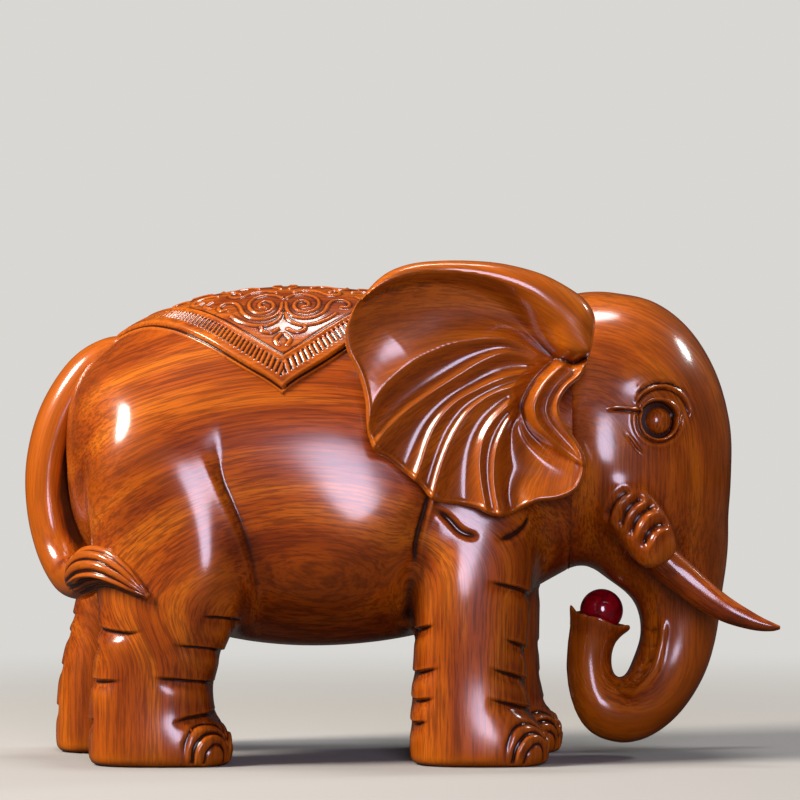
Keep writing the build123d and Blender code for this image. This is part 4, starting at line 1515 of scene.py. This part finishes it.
def lacquered_hardwood(name, pale, middle, deep, streak, recess_shade):
    """Carved hardwood, stained, with its edges paler from wear, and coated with clear gloss lacquer.

    To the eye: warm bands with fine dark streaks along the grain, near-black painted shade with
    staining in every cut and hollow, edges paler from wear, painted light on the ears and head, and a
    smooth wet-looking coat over all of it.
    """
    material, tree = new_material(name)
    grain = add(tree, "Attribute", attribute_name="grain").outputs["Vector"]
    hollow = add(tree, "Attribute", attribute_name="hollow").outputs["Fac"]
    figure = {}
    for layer, scale, noise in (
        # growth bands about 6 mm apart
        ("bands", (0.15, 0.15, 0.02), dict(Detail=2.0, Roughness=0.4, Distortion=0.3)),
        # streaks about 0.5 mm wide and 6 mm long, drawn a little coarser than real pores so they show
        ("streaks", (1.7, 1.7, 0.075), dict(Detail=3.0, Roughness=0.5, Distortion=0.12)),
        # hair-fine pores
        ("pores", (4.2, 4.2, 0.22), dict(Detail=2.0, Roughness=0.5)),
    ):
        place = add(tree, "VectorMath", {0: grain, 1: scale}, operation="MULTIPLY").outputs[0]
        figure[layer] = add(tree, "TexNoise", {"Vector": place}, Scale=1.0, **noise).outputs["Fac"]
    bands = add(tree, "ValToRGB", {0: figure["bands"]}, [(0.26, deep), (0.50, middle), (0.74, pale)])
    streaks = add(tree, "ValToRGB", {0: figure["streaks"]}, [(0.46, "#FFFFFF"), (0.58, "#000000")])
    pores = add(tree, "ValToRGB", {0: figure["pores"]}, [(0.50, "#000000"), (0.64, "#FFFFFF")])
    dark = add(tree, "Math", {0: streaks.outputs["Color"], 1: -0.5}, operation="MULTIPLY")
    dark = add(tree, "Math", {0: dark.outputs[0], 1: 0.5}, operation="ADD", use_clamp=True)
    porous = add(tree, "Math", {0: pores.outputs["Color"], 1: 0.35}, operation="MULTIPLY")
    # painted shade: hollows and cuts darken towards the recess shade colour, with staining; convex
    # edges grow paler from wear, and the ears and head paler still as painted light
    sunk = add(tree, "MapRange", {"Value": hollow}, From_Min=0.07, From_Max=0.5, To_Max=0.94)
    wear_and_painted_light = add(tree, "MapRange", {"Value": hollow}, From_Min=-0.05, From_Max=-0.5, To_Max=0.4)
    wood = bands.outputs["Color"]
    for share, code in ((dark, streak), (porous, streak), (sunk, recess_shade), (wear_and_painted_light, pale)):
        both = {MIX_FACTOR: share.outputs[0], MIX_A: wood, MIX_B: colour(code)}
        wood = add(tree, "Mix", both, data_type="RGBA").outputs[MIX_RESULT]
    relief = add(tree, "Bump", {"Height": figure["streaks"]}, Strength=0.12, Distance=0.0002)
    shader = add(
        tree, "BsdfPrincipled", {"Base Color": wood, "Normal": relief.outputs["Normal"]},
        Roughness=0.5, IOR=1.5, Specular_IOR_Level=0.1,
        Coat_Weight=1.0, Coat_Roughness=0.17, Coat_IOR=1.55,
    )  # fmt: skip
    add(tree, "OutputMaterial", {"Surface": shader.outputs[0]})
    return material


def polished_stone():
    """A small bead of red agate, tumbled and polished: deep red with faint cloudy veins."""
    material, tree = new_material("red_agate_polished")
    place = add(tree, "TexCoord")
    cloud = add(
        tree, "TexNoise", {"Vector": place.outputs["Object"]},
        Scale=260.0, Detail=4.0, Roughness=0.55, Distortion=1.2,
    )  # fmt: skip
    reds = [(0.30, "#5E0010"), (0.55, "#8E0315"), (0.78, "#A80C20")]
    tone = add(tree, "ValToRGB", {0: cloud.outputs["Fac"]}, reds)
    shader = add(
        tree, "BsdfPrincipled", {"Base Color": tone.outputs["Color"]},
        Roughness=0.12, IOR=1.54, Subsurface_Weight=0.25, Subsurface_Scale=0.0015,
        Coat_Weight=0.6, Coat_Roughness=0.03,
    )  # fmt: skip
    add(tree, "OutputMaterial", {"Surface": shader.outputs[0]})
    return material


def plain_birch():
    """Bare turned birch for the hidden dowels: pale, matt, with close straight grain."""
    material, tree = new_material("birch_dowel_bare")
    place = add(tree, "TexCoord")
    spread = add(tree, "Mapping", {"Vector": place.outputs["Object"]}, Scale=(90, 1600, 1600))
    grain = add(tree, "TexNoise", {"Vector": spread.outputs[0]}, Scale=1.0, Detail=3.0)
    tone = add(tree, "ValToRGB", {0: grain.outputs["Fac"]}, [(0.35, "#B98F5E"), (0.65, "#D8B98A")])
    shader = add(tree, "BsdfPrincipled", {"Base Color": tone.outputs["Color"]}, Roughness=0.7)
    add(tree, "OutputMaterial", {"Surface": shader.outputs[0]})
    return material


wood = lacquered_hardwood(
    "stained_hardwood_gloss_lacquer",
    pale="#D06C0E", middle="#AA4A04", deep="#7E2E02", streak="#4C1602", recess_shade="#240802",
)  # fmt: skip
agate = polished_stone()
birch = plain_birch()

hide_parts("ear_right")
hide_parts("ear_left")
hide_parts("body_block")
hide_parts("head_block")
wooden = [body, head, ear_right, ear_left, cloth, tail, *tusks.values(), *eyes.values()]
for obj in wooden + [bead]:
    obj.data.materials.clear()
    obj.data.materials.append(agate if obj is bead else wood)
    obj.data.transform(Matrix.Scale(MM, 4))
    pick(obj)
    bpy.ops.object.shade_smooth_by_angle(angle=SMOOTH_BELOW)
    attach(obj, "loose_bead" if obj is bead else BODY)
pegs.data.materials.clear()
pegs.data.materials.append(birch)
pegs.data.transform(Matrix.Scale(MM, 4))
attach(pegs, BODY)
for name in ("neck_dowels", "tail_dowel"):
    for slot in bpy.data.objects[name].material_slots:
        slot.material = birch

# ------------------------------------------------------------------------ floor, light and camera

BACKDROP = "#D9D7D3"
PAPER_FADES = (0.16, 0.55)  # distances from the middle in m between which it fades to the backdrop
LAMPS_AIM_AT = (0, 0, 0.07)
CAMERA_PLACE = (0.0005, -1.25, 0.0996)

floor = primitive(bpy.ops.mesh.primitive_plane_add, "floor", size=8.0, location=(0, 0, 0))
paper, tree = new_material("studio_paper_matt")
seen = add(tree, "LightPath").outputs["Is Camera Ray"]
place = add(tree, "TexCoord")
away = add(tree, "VectorMath", {0: place.outputs["Object"]}, operation="LENGTH")
far = add(
    tree, "MapRange", {"Value": away.outputs["Value"]},
    From_Min=PAPER_FADES[0], From_Max=PAPER_FADES[1], interpolation_type="SMOOTHSTEP",
)  # fmt: skip
shade = add(tree, "BsdfDiffuse", Color=colour("#3E3B38"))
near = add(tree, "BsdfDiffuse", Color=colour("#ADABA7"))
glow = add(tree, "Emission", Color=colour(BACKDROP), Strength=1.0)
lit = add(tree, "MixShader", {0: far.outputs["Result"], 1: near.outputs[0], 2: glow.outputs[0]})
either = add(tree, "MixShader", {0: seen, 1: shade.outputs[0], 2: lit.outputs[0]})
add(tree, "OutputMaterial", {"Surface": either.outputs[0]})
floor.data.materials.append(paper)

world = bpy.data.worlds.new("studio")
world.use_nodes = True
tree = world.node_tree
tree.nodes.clear()
rays = add(tree, "LightPath").outputs
dim = add(tree, "Background", Color=colour("#FFFFFF"), Strength=0.075)
dark = add(tree, "Background", Color=colour("#FFFFFF"), Strength=0.03)
pale = add(tree, "Background", Color=colour(BACKDROP), Strength=1.0)
unseen = add(tree, "MixShader", {0: rays["Is Glossy Ray"], 1: dim.outputs[0], 2: dark.outputs[0]})
either = add(tree, "MixShader", {0: rays["Is Camera Ray"], 1: unseen.outputs[0], 2: pale.outputs[0]})
add(tree, "OutputWorld", {"Surface": either.outputs[0]})
bpy.context.scene.world = world


def softbox(name, place, size, power, tint="#FFFFFF"):
    """A wide round-edged lamp turned to the elephant's middle."""
    lamp = bpy.data.lights.new(name, "AREA")
    lamp.shape = "ELLIPSE"
    lamp.size, lamp.size_y = size
    lamp.energy = power
    lamp.color = colour(tint)[:3]
    obj = bpy.data.objects.new(name, lamp)
    obj.visible_camera = False
    obj.location = place
    aim = Vector(LAMPS_AIM_AT) - Vector(place)
    obj.rotation_euler = aim.to_track_quat("-Z", "Y").to_euler()
    bpy.context.scene.collection.objects.link(obj)


softbox("key", (-0.90, -0.38, 0.80), (0.36, 0.48), 24.0, "#FFF6EC")
softbox("front", (0.16, -1.42, 0.315), (0.42, 0.66), 10.5, "#E8E0FF")
softbox("top", (0.04, 0.02, 1.10), (0.26, 0.34), 4.5)
softbox("right", (0.80, 0.26, 0.68), (0.15, 0.15), 2.6)

camera = bpy.data.cameras.new("camera")
camera.lens = 201.4
camera.sensor_width = 36
camera.clip_end = 20
view = bpy.data.objects.new("camera", camera)
view.location = CAMERA_PLACE
view.rotation_euler = (math.radians(90), 0, 0)
bpy.context.scene.collection.objects.link(view)
bpy.context.scene.camera = view
bpy.context.scene.view_settings.view_transform = "Standard"
